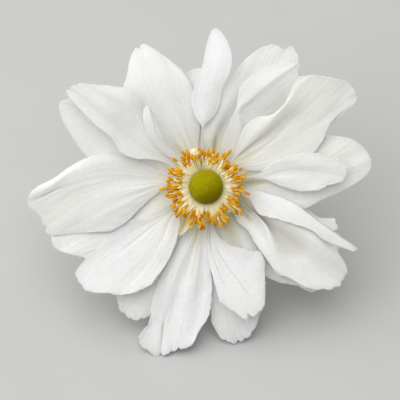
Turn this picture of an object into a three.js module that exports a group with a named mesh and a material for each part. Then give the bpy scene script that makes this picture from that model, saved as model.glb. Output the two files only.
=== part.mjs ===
// Japanese anemone: one semi-double white flower, picked with its own stem and laid down.
// It rests on the tips of two lower tepals and on the far end of its stem.
// Units are millimetres and degrees, +Z is up, and the origin is on the surface below
// the middle of the flower and its stem.
import * as THREE from "three";

// ---------------------------------------------------------------- driving dimensions
const FACE_ELEVATION = 50; // how far the flower's face looks up from the surface
const SEAT_GAP = 0.3; // clearance between a piece and the piece that carries it

const CLAW_RADIUS = 4; // where a tepal's narrow claw leaves the receptacle
const TEPAL_THICKNESS = 0.4;
const TEPAL_STEPS = 10; // mesh steps from claw to tip
const STEPS_PER_VEIN = 2; // mesh steps across, between two veins

const BOWL_RADIUS = 28; // distance from the axis at which the bowl of tepals stands highest
const BOWL_RISE = 3.2;
const BOWL_BASE = -1.6; // depth of the backmost layer at the axis
const LAYER_STEP = 0.45; // distance from one layer of tepals to the next at the axis
const LAYER_SPREAD = 0.04; // how fast the layers part on the way out
const LAYER_SPREAD_END = 30; // beyond this radius they part no further

const RECEPTACLE_RADIUS = CLAW_RADIUS - SEAT_GAP;
const RECEPTACLE_TOP = 2.7;
const RECEPTACLE_BOTTOM = -1.5;
const RECEPTACLE_TAPER = 3.6; // length of the cone between receptacle and stem

const STEM_RADIUS = 1.1;
const STEM_BEND_RADIUS = 34;
const STEM_LYING_LENGTH = 16;
const STEM_SIDE_SWEEP = 6; // how far the lying end wanders to the side
const STEM_KNOT_SHARE = 0.7; // a point of its middle line, on the way to the bend
const STEM_BEND_STEPS = 4; // points of its middle line along the bend
const STEM_LYING_STEPS = 3; // and along the lying end
const STEM_STEPS = 36; // mesh steps along the stem
const STEM_SIDES = 12;

const CARPEL_HEAD_RADIUS = 4.15;
const CARPEL_HEAD_BASE = RECEPTACLE_TOP + SEAT_GAP;
const CARPEL_HEAD_CENTRE = 6.1;
const CARPEL_HEAD_STEPS = 10; // mesh steps from base to top
const CARPEL_HEAD_SIDES = 20;

const FILAMENT_RADIUS = 0.13;
const FILAMENT_RING = 3.42; // radius of the ring on which the filaments stand
const ANTHER_RADIUS = 0.36;
const ANTHER_LENGTH = 1.3;
const ANTHER_HEIGHT = 5.3; // height of the anthers above the claws, at the axis
const ANTHER_RISE = 0.12; // rise of the anthers for each millimetre outwards
const ANTHER_PROFILE = [[0.8, 0.2], [1, 0.5], [0.75, 0.85]]; // shares of radius and length
const STAMEN_SIDES = 6;

const PETALOID_BALL = { angle: 108, reach: 8.7, radius: 1.35 };

const MATERIALS = {
  tepal: { color: 0xf4f4f0, roughness: 0.55, metalness: 0 },
  carpel: { color: 0x96991c, roughness: 0.6, metalness: 0 },
  petaloid: { color: 0xeed8a8, roughness: 0.5, metalness: 0 },
  anther: { color: 0xe89a18, roughness: 0.65, metalness: 0 },
  stem: { color: 0x7c8a4c, roughness: 0.6, metalness: 0 },
};

// Clumps in which the stamens stand: start and end angle (anticlockwise from the
// flower's right), inner and outer reach of their anthers, and how many there are.
const STAMEN_CLUMPS = [
  [6, 34, 6, 9.6, 4],
  [47, 61, 7, 10.2, 2],
  [66, 98, 6.6, 8.6, 4],
  [117, 133, 7.2, 9.4, 2],
  [139, 140, 10, 10, 1],
  [151, 163, 6.6, 9, 2],
  [168, 194, 6.2, 9.6, 3],
  [203, 234, 7, 10, 4],
  [240, 266, 7, 9.8, 3],
  [274, 300, 7, 9.6, 3],
  [311, 335, 7, 9.4, 3],
  [342, 357, 7, 10.4, 2],
];

// The tepals, clockwise from twelve o'clock. "claw" is the angle at which the tepal
// leaves the receptacle, "layer" how far forward it lies (0 is the backmost layer).
// "veins" are lines from the claw to the edge, clockwise across the tepal: the first
// and the last are its side margins, and where the edge is folded over the viewer sees
// the first vein lie on top of the next ones. A point is [right, up, lift] in the plane
// of the flower's face, and lift is its height above the tepal's own layer.
const TEPALS = {
  "tepal_12_front": {
    "claw": 94, "layer": 2.7, "claw_width": 1.2,
    "veins": [
      [[-1.1, 10.3, -0.4], [-1, 14.8, 1.3], [-2.9, 18, 0.7], [-3.6, 21, 0], [-2.9, 25, -0.7],
       [-1.1, 29.3, -1.1], [0, 34.8, -1.7], [1.3, 39, -2.2]],
      [[-0.9, 10.3, -0.4], [-0.8, 14.8, 1.3], [-0.3, 20.8, 0.1], [1.3, 28.8, -0.8],
       [2.8, 34.8, -1.4], [2.3, 39.6, -2.2]],
      [[-0.7, 10.3, -0.4], [-0.6, 14.8, 1.2], [2.1, 17.8, 0.3], [3.6, 20.8, -0.3],
       [3.9, 24, -0.5], [5.8, 28, -0.5], [6.5, 31.8, -0.7], [5.3, 36.3, -1.4], [3.5, 39, -2]],
    ],
  },
  "tepal_1_back": {
    "claw": 72, "layer": 0.3, "claw_width": 2.2,
    "veins": [
      [[-0.5, 8.8, 0.8], [-1.3, 12.5, 1.4], [-0.4, 16.8, 2.4], [2.5, 21.3, 2.4],
       [4.5, 24.3, 2], [8.5, 30.3, 0.9], [10.3, 32.3, 0.5]],
      [[1.5, 8.8, 0.9], [1.6, 12.8, 2], [4.5, 20, 2], [9.5, 28, 0.8], [14, 34.9, 0.6]],
      [[2.8, 8.8, 0], [4.1, 14.3, 0.6], [7.5, 19.8, 0.7], [12.5, 28, 0.3], [17, 35.6, 0.7]],
      [[4.5, 8.8, 0], [7.5, 14.8, 0], [11.5, 21.3, 0], [16, 28, 0], [19.5, 34.4, 0.7]],
      [[5.8, 8.3, 0], [9.3, 14.3, 0], [14, 20.3, 0], [18.5, 27.3, 0], [21.2, 35.3, 0.7]],
      [[6.8, 7.5, 0], [11, 12.3, 0], [16.5, 17.8, 0], [21.3, 23.3, 0], [23.6, 28.8, 0],
       [23, 33, 0.4]],
    ],
  },
  "tepal_1_front": {
    "claw": 59, "layer": 1.6, "claw_width": 2.4,
    "veins": [
      [[4, 6.8, 0], [3.8, 9.8, 0.1], [5.8, 16, 0.2], [7.5, 19.8, 0.2], [8.6, 25, 0.1],
       [12, 27.9, 0.1], [16.8, 30.3, 0.1], [22.3, 30.9, 0.1]],
      [[6.3, 6.8, 0.1], [7.5, 9.8, 0.2], [8.4, 15.3, 0.4], [8, 18.8, 0.5], [11.5, 22.3, 0.6],
       [15.3, 25.5, 0.6], [18.8, 28.1, 0.5], [22.5, 30.5, 0.2]],
      [[6.8, 6.8, -0.1], [8.3, 9.8, -0.1], [9.3, 15.3, 0.1], [9, 18.8, 0.2],
       [12.5, 21.8, 0.2], [16.3, 24.9, 0.2], [19.8, 27.6, 0.1], [22.8, 30, 0]],
      [[7, 6.8, -0.2], [9.8, 11, -0.3], [12.8, 16, -0.5], [17.8, 20.5, -0.7],
       [23.5, 27.3, -0.5]],
      [[7.3, 6.8, -0.3], [11, 10.5, -0.5], [16, 14.8, -0.9], [21.5, 19.8, -1],
       [25, 24.8, -0.8]],
    ],
  },
  "tepal_2_front": {
    "claw": 43, "layer": 2.6, "claw_width": 2.4,
    "veins": [
      [[6.3, 6.8, 0], [7.5, 9.8, 0.1], [9.3, 14.5, 0.3], [12.8, 17.4, 0.5], [16.5, 17.8, 0.6],
       [19.3, 20.3, 0.8], [21.3, 24.8, 1.1], [23.3, 27.4, 1.1]],
      [[6.8, 6.8, 0.1], [9.8, 9.8, 0.4], [13, 13.3, 0.8], [16.5, 16.8, 0.9], [20.3, 21, 0.9],
       [23, 24.8, 0.9], [26.5, 27.8, 1]],
      [[7.3, 6.8, 0], [11, 9.8, -0.1], [15.5, 12.8, -0.3], [20.5, 16.8, -0.5],
       [25.5, 21.3, 0], [31, 27.3, 0.6]],
      [[7.5, 6.3, 0], [11.5, 8.3, 0], [16.5, 10.8, -0.2], [22.3, 14.3, -0.6],
       [29, 18.8, -0.6], [36, 25.8, -0.2]],
      [[8.3, 5.3, 0], [12.5, 6.5, -0.1], [17.8, 8.8, -0.5], [23.5, 12.3, -0.9],
       [30.5, 17.3, -1.1], [37.8, 22.3, -0.9]],
      [[8.5, 4.3, -0.1], [13, 4, -0.3], [19, 4.5, -0.8], [25, 6.8, -1.1], [29, 11.5, -1.3],
       [30.5, 15.8, -1.4], [34, 17.6, -1.4]],
    ],
  },
  "tepal_3_front": {
    "claw": 13, "layer": 3, "claw_width": 1.8,
    "veins": [
      [[9, 2.3, 0], [12.8, 3.1, 0.1], [16.3, 5.8, 0.3], [21.8, 8, 0.5], [27.3, 8.4, 0.6],
       [33.3, 7.1, 0.5]],
      [[9.3, 2, 0], [13.5, 3, 0], [20.3, 5.3, 0.2], [27.5, 6, 0.3], [35, 4.8, 0.2]],
      [[9.5, 1.9, -0.1], [14, 2.8, -0.1], [21.8, 4, -0.3], [28.5, 3.4, -0.3],
       [34.5, 1.8, -0.2]],
      [[9.3, 1.8, 0], [14, 2.3, -0.1], [20.3, 2, -0.2], [26.5, 1.3, -0.3], [31.5, 0.6, -0.3]],
      [[9, 1.6, 0], [14.5, 1.9, 0], [19.5, -0.1, -0.1], [23.5, -1.1, -0.2], [28, -0.9, -0.2]],
    ],
  },
  "tepal_3_back": {
    "claw": 2, "layer": 1, "claw_width": 2.4,
    "veins": [
      [[11, 3.8, 0], [19.8, 6.8, 0], [26, 9.3, 0], [30.3, 12.9, 0.1]],
      [[11.5, 2.8, 0], [21, 5.3, 0], [29.8, 8, 0.1], [36, 12.1, 0.1]],
      [[12, 1.8, 0], [22.3, 3.5, 0], [32.3, 5.3, 0], [40.5, 8.5, 0]],
      [[12, 0.8, 0], [22.3, 1.3, -0.1], [32.3, 2.3, -0.1], [41.3, 4.8, 0]],
      [[11.5, -0.3, 0], [21.5, -1.3, 0], [30, -1, 0], [36.5, 0.4, 0]],
      [[11, -1.5, -0.1], [17.3, -4.3, -0.1], [24, -5.5, 0], [29, -3.1, 0]],
    ],
  },
  "tepal_4_front": {
    "claw": 330, "layer": 2.4, "claw_width": 2.4,
    "veins": [
      [[8.5, -2, 0.1], [11, -3.3, 0.6], [13, -6.6, 1.2], [17.3, -8, 1.7], [22.3, -9.5, 1.9],
       [26.3, -10.8, 1.8], [29.4, -13.3, 1.6], [33.5, -14.9, 1.2], [36.5, -16.1, 0.8]],
      [[8.5, -1, -0.1], [11, -0.8, -0.1], [14, -1, 0], [21.8, -4.3, 0.3], [27.5, -8.3, 0.4],
       [32.3, -11.4, 0.6], [37.9, -15.6, 0.5]],
      [[8.8, -2.3, -0.2], [13, -3.5, -0.2], [19, -5.3, 0], [25.5, -8.8, 0], [30, -12.8, -0.1],
       [32.9, -15.5, -0.2]],
      [[8.8, -3.3, -0.3], [13, -5.5, 0.2], [19.8, -9.3, 0.8], [27.3, -14, 0.6],
       [35.3, -20.8, -0.6]],
      [[8.5, -4, -0.3], [14, -8.8, -1.5], [20.5, -14.3, -1.9], [27, -19.8, -2],
       [32.9, -25, -1.6]],
      [[8.1, -4, 0.1], [10.3, -5.3, 0.3], [13, -7.3, 0.5], [15, -9.8, 0.4],
       [16.3, -13.3, 0.1], [17.5, -17.3, -0.5], [20, -20.8, -1], [25.3, -25.3, -1.3]],
      [[7.5, -4.8, -0.3], [9.8, -6.9, -1.1], [11.9, -9.5, -1.2], [13.9, -12.3, -0.8],
       [15.5, -15.8, -0.3], [17.3, -19.3, -0.3], [20, -22.4, -0.5]],
      [[6.5, -6, 0.1], [8, -8.8, 0.1], [10.5, -10.8, 0.1], [12.3, -14, 0.1], [14.8, -17.5, 0],
       [17.9, -22.3, -0.2]],
    ],
  },
  "tepal_4_back": {
    "claw": 337, "layer": 0, "claw_width": 2.4,
    "veins": [
      [[11.5, -2.3, 0], [19.8, -4, 0], [24.8, -5.3, 0], [28.5, -7.6, -0.3],
       [32.6, -7.7, -0.1]],
      [[11, -3.8, 0], [19.8, -7.8, 0], [27.3, -10.3, 0.1], [33, -11.3, 0.6]],
      [[10, -5.3, 0], [18.5, -12, 0], [26, -17, 0], [31.8, -21.3, 0.2]],
      [[9.3, -6.8, 0], [16.5, -14.5, 0], [23, -20.8, 0], [26.8, -26.3, 0]],
      [[8.5, -8, 0], [14, -15.8, 0], [18.5, -21.3, 0], [22.8, -24.7, 0]],
      [[7.3, -8.5, 0], [10.3, -13.3, 0], [12.3, -17.8, 0], [14.5, -21.9, 0],
       [18.3, -23.9, 0]],
    ],
  },
  "tepal_5_front": {
    "claw": 277, "layer": 2, "claw_width": 2.4,
    "veins": [
      [[2, -9.5, 0.2], [3.3, -12.3, 0.2], [6.8, -14.6, 0.2], [10.8, -15.5, 0.1],
       [13.6, -16, 0], [14.5, -17.5, 0], [14.8, -24, -0.1]],
      [[1.8, -10.3, 0], [4.8, -15.8, 0.2], [9.3, -21.3, 0.1], [12.5, -26.3, 0],
       [14.3, -30.3, 0]],
      [[1.5, -10.3, 0], [3, -15.8, -0.1], [6.5, -22.5, -0.1], [10, -28.3, 0],
       [12.3, -32.1, 0.2]],
      [[1, -10.3, -0.1], [1.8, -15.8, -0.1], [4, -22, 0], [7.3, -28, 0], [9.8, -33, 0.1]],
      [[0.8, -10.3, 0.1], [1, -15.3, 0.1], [2.3, -21, 0.1], [4.3, -26.3, 0.1],
       [6.3, -30.9, 0]],
      [[0.5, -10.3, 0.3], [0.3, -15.8, 0.4], [1.3, -21.3, 0.3], [2.5, -25.5, 0.2],
       [3.4, -28.9, 0]],
    ],
  },
  "tepal_5_inner": {
    "claw": 303, "layer": 0.8, "claw_width": 1.8,
    "veins": [
      [[6, -7, 0.3], [9.3, -8.8, 0.1], [11.3, -11.5, -0.1], [12.8, -15.8, -0.3],
       [13, -20.8, -0.5]],
      [[5, -8.3, 0], [7.3, -12.8, -0.3], [9.5, -17.8, -0.5], [10.5, -22.3, -0.6]],
      [[3.8, -8.8, 0], [5, -13.3, -0.3], [6.8, -18.8, -0.5], [8, -23.8, -0.6]],
      [[2.3, -9.3, 0.2], [2.3, -13.3, 0], [3.5, -18.8, -0.4], [5.8, -23.3, -0.6]],
    ],
  },
  "tepal_5_back": {
    "claw": 270, "layer": 0, "claw_width": 2,
    "veins": [
      [[2.5, -12, 0], [8, -22, 0], [12, -28.3, 0], [13.8, -31.8, 0]],
      [[1.8, -12, 0], [6, -24.5, 0], [11.1, -37.3, -0.4]],
      [[1.3, -12, 0], [4.3, -25.8, -0.1], [7.1, -39.2, -0.5]],
      [[0.8, -12, 0], [2.5, -25.8, 0], [3.4, -37.5, -0.4]],
      [[0.3, -12, 0], [1, -24.5, 0], [1.4, -33.8, 0]],
    ],
  },
  "tepal_6_front": {
    "claw": 256, "layer": 1, "claw_width": 2.4,
    "veins": [
      [[0.3, -10.3, 0.2], [0.5, -15.8, 0.1], [1.3, -20.8, 0], [1.6, -26.3, -0.2],
       [0.9, -31.8, -0.1], [-1.4, -35.8, 0.3]],
      [[-0.5, -10.8, 0], [-0.8, -20.3, -0.3], [-1.5, -29.5, -0.7], [-3.6, -39.7, 0.6]],
      [[-1.3, -10.8, 0.1], [-3, -21.5, 0.3], [-5, -31.3, -0.4], [-7.5, -40.8, 0.6]],
      [[-2, -10.8, 0], [-5.5, -21.5, -0.2], [-8.3, -31.3, -0.9], [-10, -41.9, 0.5]],
      [[-2.8, -10.8, 0.1], [-7.5, -20.8, 0.3], [-10.3, -30.3, -0.5], [-12.4, -42.4, 0.6]],
      [[-3.8, -11, 0], [-9.5, -21.5, -0.2], [-12.3, -29.5, -0.2], [-16.3, -40, 0.4]],
      [[-5.3, -11.3, 0.2], [-9, -18.3, 0], [-12.3, -24.5, 0], [-13.8, -30.3, 0],
       [-13.7, -33.6, 0.3], [-15.3, -35.2, 0.4], [-16.9, -37.5, 0.4]],
    ],
  },
  "tepal_7_back": {
    "claw": 237, "layer": 0, "claw_width": 2,
    "veins": [
      [[-5, -8.3, 0], [-8.5, -17, 0], [-11.5, -24.5, 0], [-13.9, -32.3, 0.1]],
      [[-6, -8.3, 0], [-11.5, -18.8, 0.1], [-15, -25.8, 0.3], [-17.6, -33.3, 0.2]],
      [[-7, -8.3, 0], [-14, -17.8, -0.1], [-18.3, -24.5, -0.2], [-21.4, -31, -0.1]],
      [[-8, -7.8, 0], [-15.8, -16.3, 0], [-20.5, -22.8, 0], [-22.4, -26.8, 0.2]],
    ],
  },
  "tepal_7_front": {
    "claw": 224, "layer": 2, "claw_width": 2.4,
    "veins": [
      [[-6.3, -5.5, 0.2], [-6.5, -9.5, 0.3], [-7.8, -15, 0.4], [-10.3, -19.8, 0.5],
       [-13.5, -24.3, 0.6]],
      [[-7.3, -6, 0], [-10, -13.3, 0.2], [-14, -20.3, 0.3], [-19, -26.8, 0.7]],
      [[-8, -6.3, 0], [-13, -13.3, 0.1], [-19, -20, 0.1], [-25.5, -26.5, 0.5]],
      [[-8.5, -6.3, 0], [-15.8, -12, -0.2], [-23.3, -18.3, -0.4], [-30.4, -25.6, -0.2]],
      [[-8.8, -6, 0], [-17.3, -10.8, -0.4], [-25.5, -16.3, -0.7], [-32.6, -21.9, -0.7]],
      [[-8.5, -5.6, 0.2], [-12.8, -7.5, 0.1], [-18.3, -8.1, -0.1], [-23.3, -10.8, -0.3],
       [-26.5, -14.8, -0.5], [-30, -17.6, -0.5]],
    ],
  },
  "tepal_8_back": {
    "claw": 198, "layer": 1, "claw_width": 2,
    "veins": [
      [[-9.5, -6, 0.2], [-16, -11.8, 0.2], [-23.5, -16.3, 0.2], [-29.5, -17.8, 0.5]],
      [[-11, -4.8, 0.3], [-18.5, -8.8, 0.3], [-26.5, -12.8, 0.6], [-33.8, -16.8, 0.9]],
      [[-12.8, -2.8, 0.3], [-20.3, -5, 0.3], [-29, -9, 0.6], [-37.9, -15.1, 0.8]],
      [[-12.5, -1.5, 0.2], [-22, -2.5, 0.2], [-31.5, -6.8, 0.3], [-38.8, -12.3, 0.5]],
    ],
  },
  "tepal_9_front": {
    "claw": 180, "layer": 2.3, "claw_width": 2.4,
    "veins": [
      [[-10, -0.5, 0], [-13.3, -2.5, 0], [-16.5, -5.5, 0], [-19.8, -8.8, 0],
       [-23.5, -11, -0.1]],
      [[-11, 0.3, 0], [-15.3, -1.5, 0], [-21, -4.5, 0], [-26.5, -7.8, -0.3],
       [-32, -11.5, -0.9]],
      [[-11.5, 0.8, 0], [-16.5, -0.3, 0.1], [-23.5, -2.3, -0.1], [-31.5, -7, -0.5],
       [-39.6, -11.7, -1]],
      [[-11.5, 1.3, 0], [-17, 1.3, -0.1], [-24.5, 0.5, -0.1], [-32.8, -2.5, 0],
       [-41, -8, -0.1]],
      [[-11.5, 2, 0], [-17, 2.8, 0.1], [-25.3, 2.8, 0.2], [-34, 0.3, 0.7],
       [-44.3, -4.3, 1.1]],
      [[-11.5, 2.8, 0], [-16.5, 4.5, 0], [-25, 6, 0.4], [-33.8, 3.6, 1.2], [-38.8, 0.3, 1.6],
       [-43.5, -1.3, 1.5]],
      [[-11.5, 4, 0.1], [-16.5, 6.5, 0.1], [-23.3, 8, 0.2], [-29.5, 7.3, 0.3],
       [-34.1, 5, 0.6], [-38, 2.2, 0.9], [-42, 0.3, 1]],
    ],
  },
  "tepal_10_front": {
    "claw": 156, "layer": 4, "claw_width": 2.4,
    "veins": [
      [[-7.5, 4.3, 0], [-10.3, 6.1, 0.1], [-14, 6.9, 0.2], [-18, 7.1, 0.3], [-21.5, 9, 0.2],
       [-23.5, 12.3, 0], [-27.5, 15.3, -0.1], [-31.3, 19.3, 0.3], [-34.1, 22.4, 0.7]],
      [[-10.3, 6.8, -0.1], [-14, 8.5, -0.3], [-19.5, 11.3, -0.7], [-25.3, 16.5, -0.6],
       [-30.5, 21, 0.3], [-34.7, 23.9, 1]],
      [[-10.3, 7.8, -0.1], [-14, 10, -0.3], [-18.5, 14.3, -0.5], [-23.5, 18.8, 0.3],
       [-28.5, 22.8, 0.9], [-32.3, 25.5, 1.3]],
      [[-9.8, 8, 0], [-13, 11.5, 0.1], [-17, 17.3, 0.2], [-21, 21.8, 0.7], [-25.5, 25.3, 1]],
      [[-8.8, 6.5, 0.1], [-11.5, 9.5, 0], [-14.3, 13.3, -0.1], [-15.6, 17.3, -0.2],
       [-16, 20.8, -0.2], [-16.8, 22.9, -0.2], [-20, 24.7, 0]],
    ],
  },
  "tepal_10_back": {
    "claw": 162, "layer": 1.2, "claw_width": 2,
    "veins": [
      [[-9.5, 2.3, 0], [-19, 3.5, 0], [-27.3, 5.8, -0.1], [-31, 8.9, 0.3], [-33.1, 12, 1]],
      [[-11.5, 4.8, 0], [-21.5, 9.8, -0.2], [-29.5, 13.3, 0.4], [-35.9, 17, 2]],
      [[-12, 6.3, 0], [-22.8, 13.8, -0.2], [-30, 18.8, 0.9], [-36.4, 20.9, 2.4]],
      [[-11.5, 7.8, 0], [-21, 16.3, 0], [-27.3, 20, 0.8], [-32.8, 22.4, 2]],
    ],
  },
  "tepal_11_tongue": {
    "claw": 130, "layer": 4.7, "claw_width": 1.6,
    "veins": [
      [[-7.5, 6.3, 0], [-10.8, 8.5, 0.1], [-13.8, 12, 0.2], [-15.6, 16.3, -0.1],
       [-15.4, 19.5, -0.5]],
      [[-7, 6.8, 0.1], [-10, 9.3, 0.3], [-12.5, 12.8, 0.6], [-13.6, 16.5, 0.5],
       [-14.4, 20.1, -0.1]],
      [[-6.5, 7.1, 0], [-9.1, 9.5, 0.2], [-11.4, 12.5, 0.5], [-12.7, 16, 0.3],
       [-13.9, 19.6, -0.1]],
      [[-6, 7.4, 0.2], [-8.4, 9.2, 0.4], [-10.3, 11.3, 0.6], [-11.9, 14.8, 0.5],
       [-13.3, 18, 0.1], [-13.8, 19.1, 0]],
    ],
  },
  "tepal_11_front": {
    "claw": 117, "layer": 2, "claw_width": 2.4,
    "veins": [
      [[-7, 8.3, -0.1], [-14, 14.3, 0], [-19, 20.3, 0.2], [-20.5, 25, 0.2], [-19.7, 27.5, 0],
       [-19.2, 30.8, -0.4], [-18.6, 33.1, -0.8]],
      [[-5.8, 9.3, -0.2], [-11.5, 18.3, 0.1], [-15, 25.8, 0.1], [-16.8, 30.8, -0.4],
       [-17.5, 34.6, -0.9]],
      [[-4, 10.3, 0.1], [-7.8, 19.3, 0.3], [-11, 26.8, 0.2], [-13.5, 32.3, -0.3],
       [-15.4, 35.6, -0.9]],
      [[-3.3, 10.3, -0.2], [-5.3, 18.8, 0], [-6.8, 25.3, 0], [-8.5, 29.5, -0.4],
       [-10, 32.4, -0.8]],
      [[-2, 9.8, -0.1], [-1.5, 14.8, 0.1], [-2.3, 20.5, 0.1], [-3.8, 25.5, 0],
       [-6, 29, -0.4]],
    ],
  },
  "tepal_11_back": {
    "claw": 104, "layer": 1, "claw_width": 2.4,
    "veins": [
      [[-3.5, 11.8, 0], [-5, 20.5, 0], [-5.8, 25.3, 0], [-5, 28.3, 0]],
      [[-2, 11.8, 0], [-2.3, 20.5, 0], [-2.3, 29.6, 0]],
      [[-1.3, 11.3, 0], [0.3, 20.5, 0], [1, 26.3, 0], [0, 29.3, 0]],
    ],
  },
  "petaloid_curled": {
    "claw": 243, "layer": 3, "claw_width": 0.8,
    "veins": [
      [[-3.8, -6.8, 0.4], [-3.8, -8.8, 0.5], [-4.5, -10.5, 0.7], [-5.8, -11.8, 0.5]],
      [[-4.5, -7, -0.1], [-5.3, -9.3, -0.5], [-6, -11, -0.3], [-6.5, -12, 0.2]],
      [[-5.3, -6.8, 0.4], [-6.3, -8.8, 0.6], [-7, -10.5, 0.6], [-7.1, -11.5, 0.3]],
    ],
  },
};

// ---------------------------------------------------------------- tepals

// Height above the claws of a layer of tepals, at a distance from the flower's axis.
function layerHeight(layer, radius) {
  const s = radius / BOWL_RADIUS;
  const bowl = BOWL_BASE + BOWL_RISE * s * (2 - s);
  const spread = LAYER_STEP + LAYER_SPREAD * Math.min(radius, LAYER_SPREAD_END);
  return bowl + layer * spread;
}

// A vein as a smooth curve, from its place on the claw through its points.
function veinCurve(tepal, index) {
  const angle = THREE.MathUtils.degToRad(tepal.claw);
  const outward = new THREE.Vector3(Math.cos(angle), Math.sin(angle), 0);
  const clockwise = new THREE.Vector3(Math.sin(angle), -Math.cos(angle), 0);
  const across = tepal.claw_width * (index / (tepal.veins.length - 1) - 0.5);
  const root = outward.multiplyScalar(CLAW_RADIUS).addScaledVector(clockwise, across);
  root.z = layerHeight(tepal.layer, CLAW_RADIUS);
  const points = tepal.veins[index].map(([right, up, lift]) => {
    const height = layerHeight(tepal.layer, Math.hypot(right, up)) + lift;
    return new THREE.Vector3(right, up, height);
  });
  return new THREE.CatmullRomCurve3([root, ...points]);
}

// Rows of points on the tepal's middle surface, from claw to edge.
function tepalRows(tepal) {
  const curves = tepal.veins.map((_, index) => veinCurve(tepal, index));
  const acrossSteps = STEPS_PER_VEIN * (curves.length - 1);
  const rows = [];
  for (let j = 0; j <= TEPAL_STEPS; j++) {
    const onVeins = curves.map((curve) => curve.getPointAt(j / TEPAL_STEPS));
    rows.push(new THREE.CatmullRomCurve3(onVeins).getPoints(acrossSteps));
  }
  return rows;
}

// Unit normal of the middle surface at one point, from its neighbours.
function rowNormal(rows, j, i) {
  const next = (list, k) => list[Math.min(k + 1, list.length - 1)];
  const previous = (list, k) => list[Math.max(k - 1, 0)];
  const across = next(rows[j], i).clone().sub(previous(rows[j], i));
  const along = next(rows, j)[i].clone().sub(previous(rows, j)[i]);
  return across.cross(along).normalize();
}

// Closed sheet of even thickness around the middle surface.
function sheetGeometry(rows, thickness) {
  const columns = rows[0].length;
  const count = rows.length * columns;
  const front = [];
  const back = [];
  rows.forEach((row, j) => {
    row.forEach((point, i) => {
      const offset = rowNormal(rows, j, i).multiplyScalar(thickness / 2);
      front.push(...point.clone().add(offset).toArray());
      back.push(...point.clone().sub(offset).toArray());
    });
  });
  const faces = [];
  for (let j = 0; j < rows.length - 1; j++) {
    for (let i = 0; i < columns - 1; i++) {
      const a = j * columns + i;
      const b = a + 1;
      const c = b + columns;
      const d = a + columns;
      faces.push(a, b, c, a, c, d);
      faces.push(a + count, c + count, b + count, a + count, d + count, c + count);
    }
  }
  const rim = sheetRim(rows.length, columns);
  rim.forEach((a, k) => {
    const b = rim[(k + 1) % rim.length];
    faces.push(b, a, a + count, b, a + count, b + count);
  });
  const geometry = new THREE.BufferGeometry();
  geometry.setAttribute("position", new THREE.Float32BufferAttribute([...front, ...back], 3));
  geometry.setIndex(faces);
  geometry.computeVertexNormals();
  return geometry;
}

// Indices of the points around a grid's border, in order.
function sheetRim(rowCount, columns) {
  const rim = [];
  for (let i = 0; i < columns; i++) rim.push(i);
  for (let j = 1; j < rowCount; j++) rim.push(j * columns + columns - 1);
  for (let i = columns - 2; i >= 0; i--) rim.push((rowCount - 1) * columns + i);
  for (let j = rowCount - 2; j > 0; j--) rim.push(j * columns);
  return rim;
}

// ---------------------------------------------------------------- centre of the flower

// Globe of carpels, cut flat where it sits on the receptacle.
function carpelHeadGeometry() {
  const cut = Math.asin((CARPEL_HEAD_BASE - CARPEL_HEAD_CENTRE) / CARPEL_HEAD_RADIUS);
  const profile = [new THREE.Vector2(0, CARPEL_HEAD_BASE)];
  for (let k = 0; k <= CARPEL_HEAD_STEPS; k++) {
    const latitude = cut + (Math.PI / 2 - cut) * (k / CARPEL_HEAD_STEPS);
    const radius = k < CARPEL_HEAD_STEPS ? CARPEL_HEAD_RADIUS * Math.cos(latitude) : 0;
    const height = CARPEL_HEAD_CENTRE + CARPEL_HEAD_RADIUS * Math.sin(latitude);
    profile.push(new THREE.Vector2(radius, height));
  }
  return new THREE.LatheGeometry(profile, CARPEL_HEAD_SIDES).rotateX(Math.PI / 2);
}

// A thread with an egg-shaped head, standing on the origin along +Y.
function stamenGeometry(length, headRadius, headLength) {
  const neck = length - headLength;
  const head = ANTHER_PROFILE.map(([wide, high]) => [headRadius * wide, neck + headLength * high]);
  const outline = [[0, 0], [FILAMENT_RADIUS, 0], [FILAMENT_RADIUS, neck], ...head, [0, length]];
  const profile = outline.map(([radius, height]) => new THREE.Vector2(radius, height));
  return new THREE.LatheGeometry(profile, STAMEN_SIDES);
}

// Stands a stamen on the receptacle and leans it so that its head reaches outwards.
function placeStamen(mesh, foot, tip) {
  const direction = new THREE.Vector3().subVectors(tip, foot).normalize();
  mesh.position.copy(foot);
  mesh.quaternion.setFromUnitVectors(new THREE.Vector3(0, 1, 0), direction);
}

function stamenMesh(name, angleInDegrees, reach, headRadius, headLength, material) {
  const angle = THREE.MathUtils.degToRad(angleInDegrees);
  const at = (radius, height) =>
    new THREE.Vector3(radius * Math.cos(angle), radius * Math.sin(angle), height);
  const foot = at(FILAMENT_RING, RECEPTACLE_TOP + SEAT_GAP);
  const tip = at(reach + headLength / 2, ANTHER_HEIGHT + ANTHER_RISE * reach);
  const geometry = stamenGeometry(foot.distanceTo(tip), headRadius, headLength);
  const mesh = piece(name, geometry, material);
  placeStamen(mesh, foot, tip);
  return mesh;
}

// ---------------------------------------------------------------- stem

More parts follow.
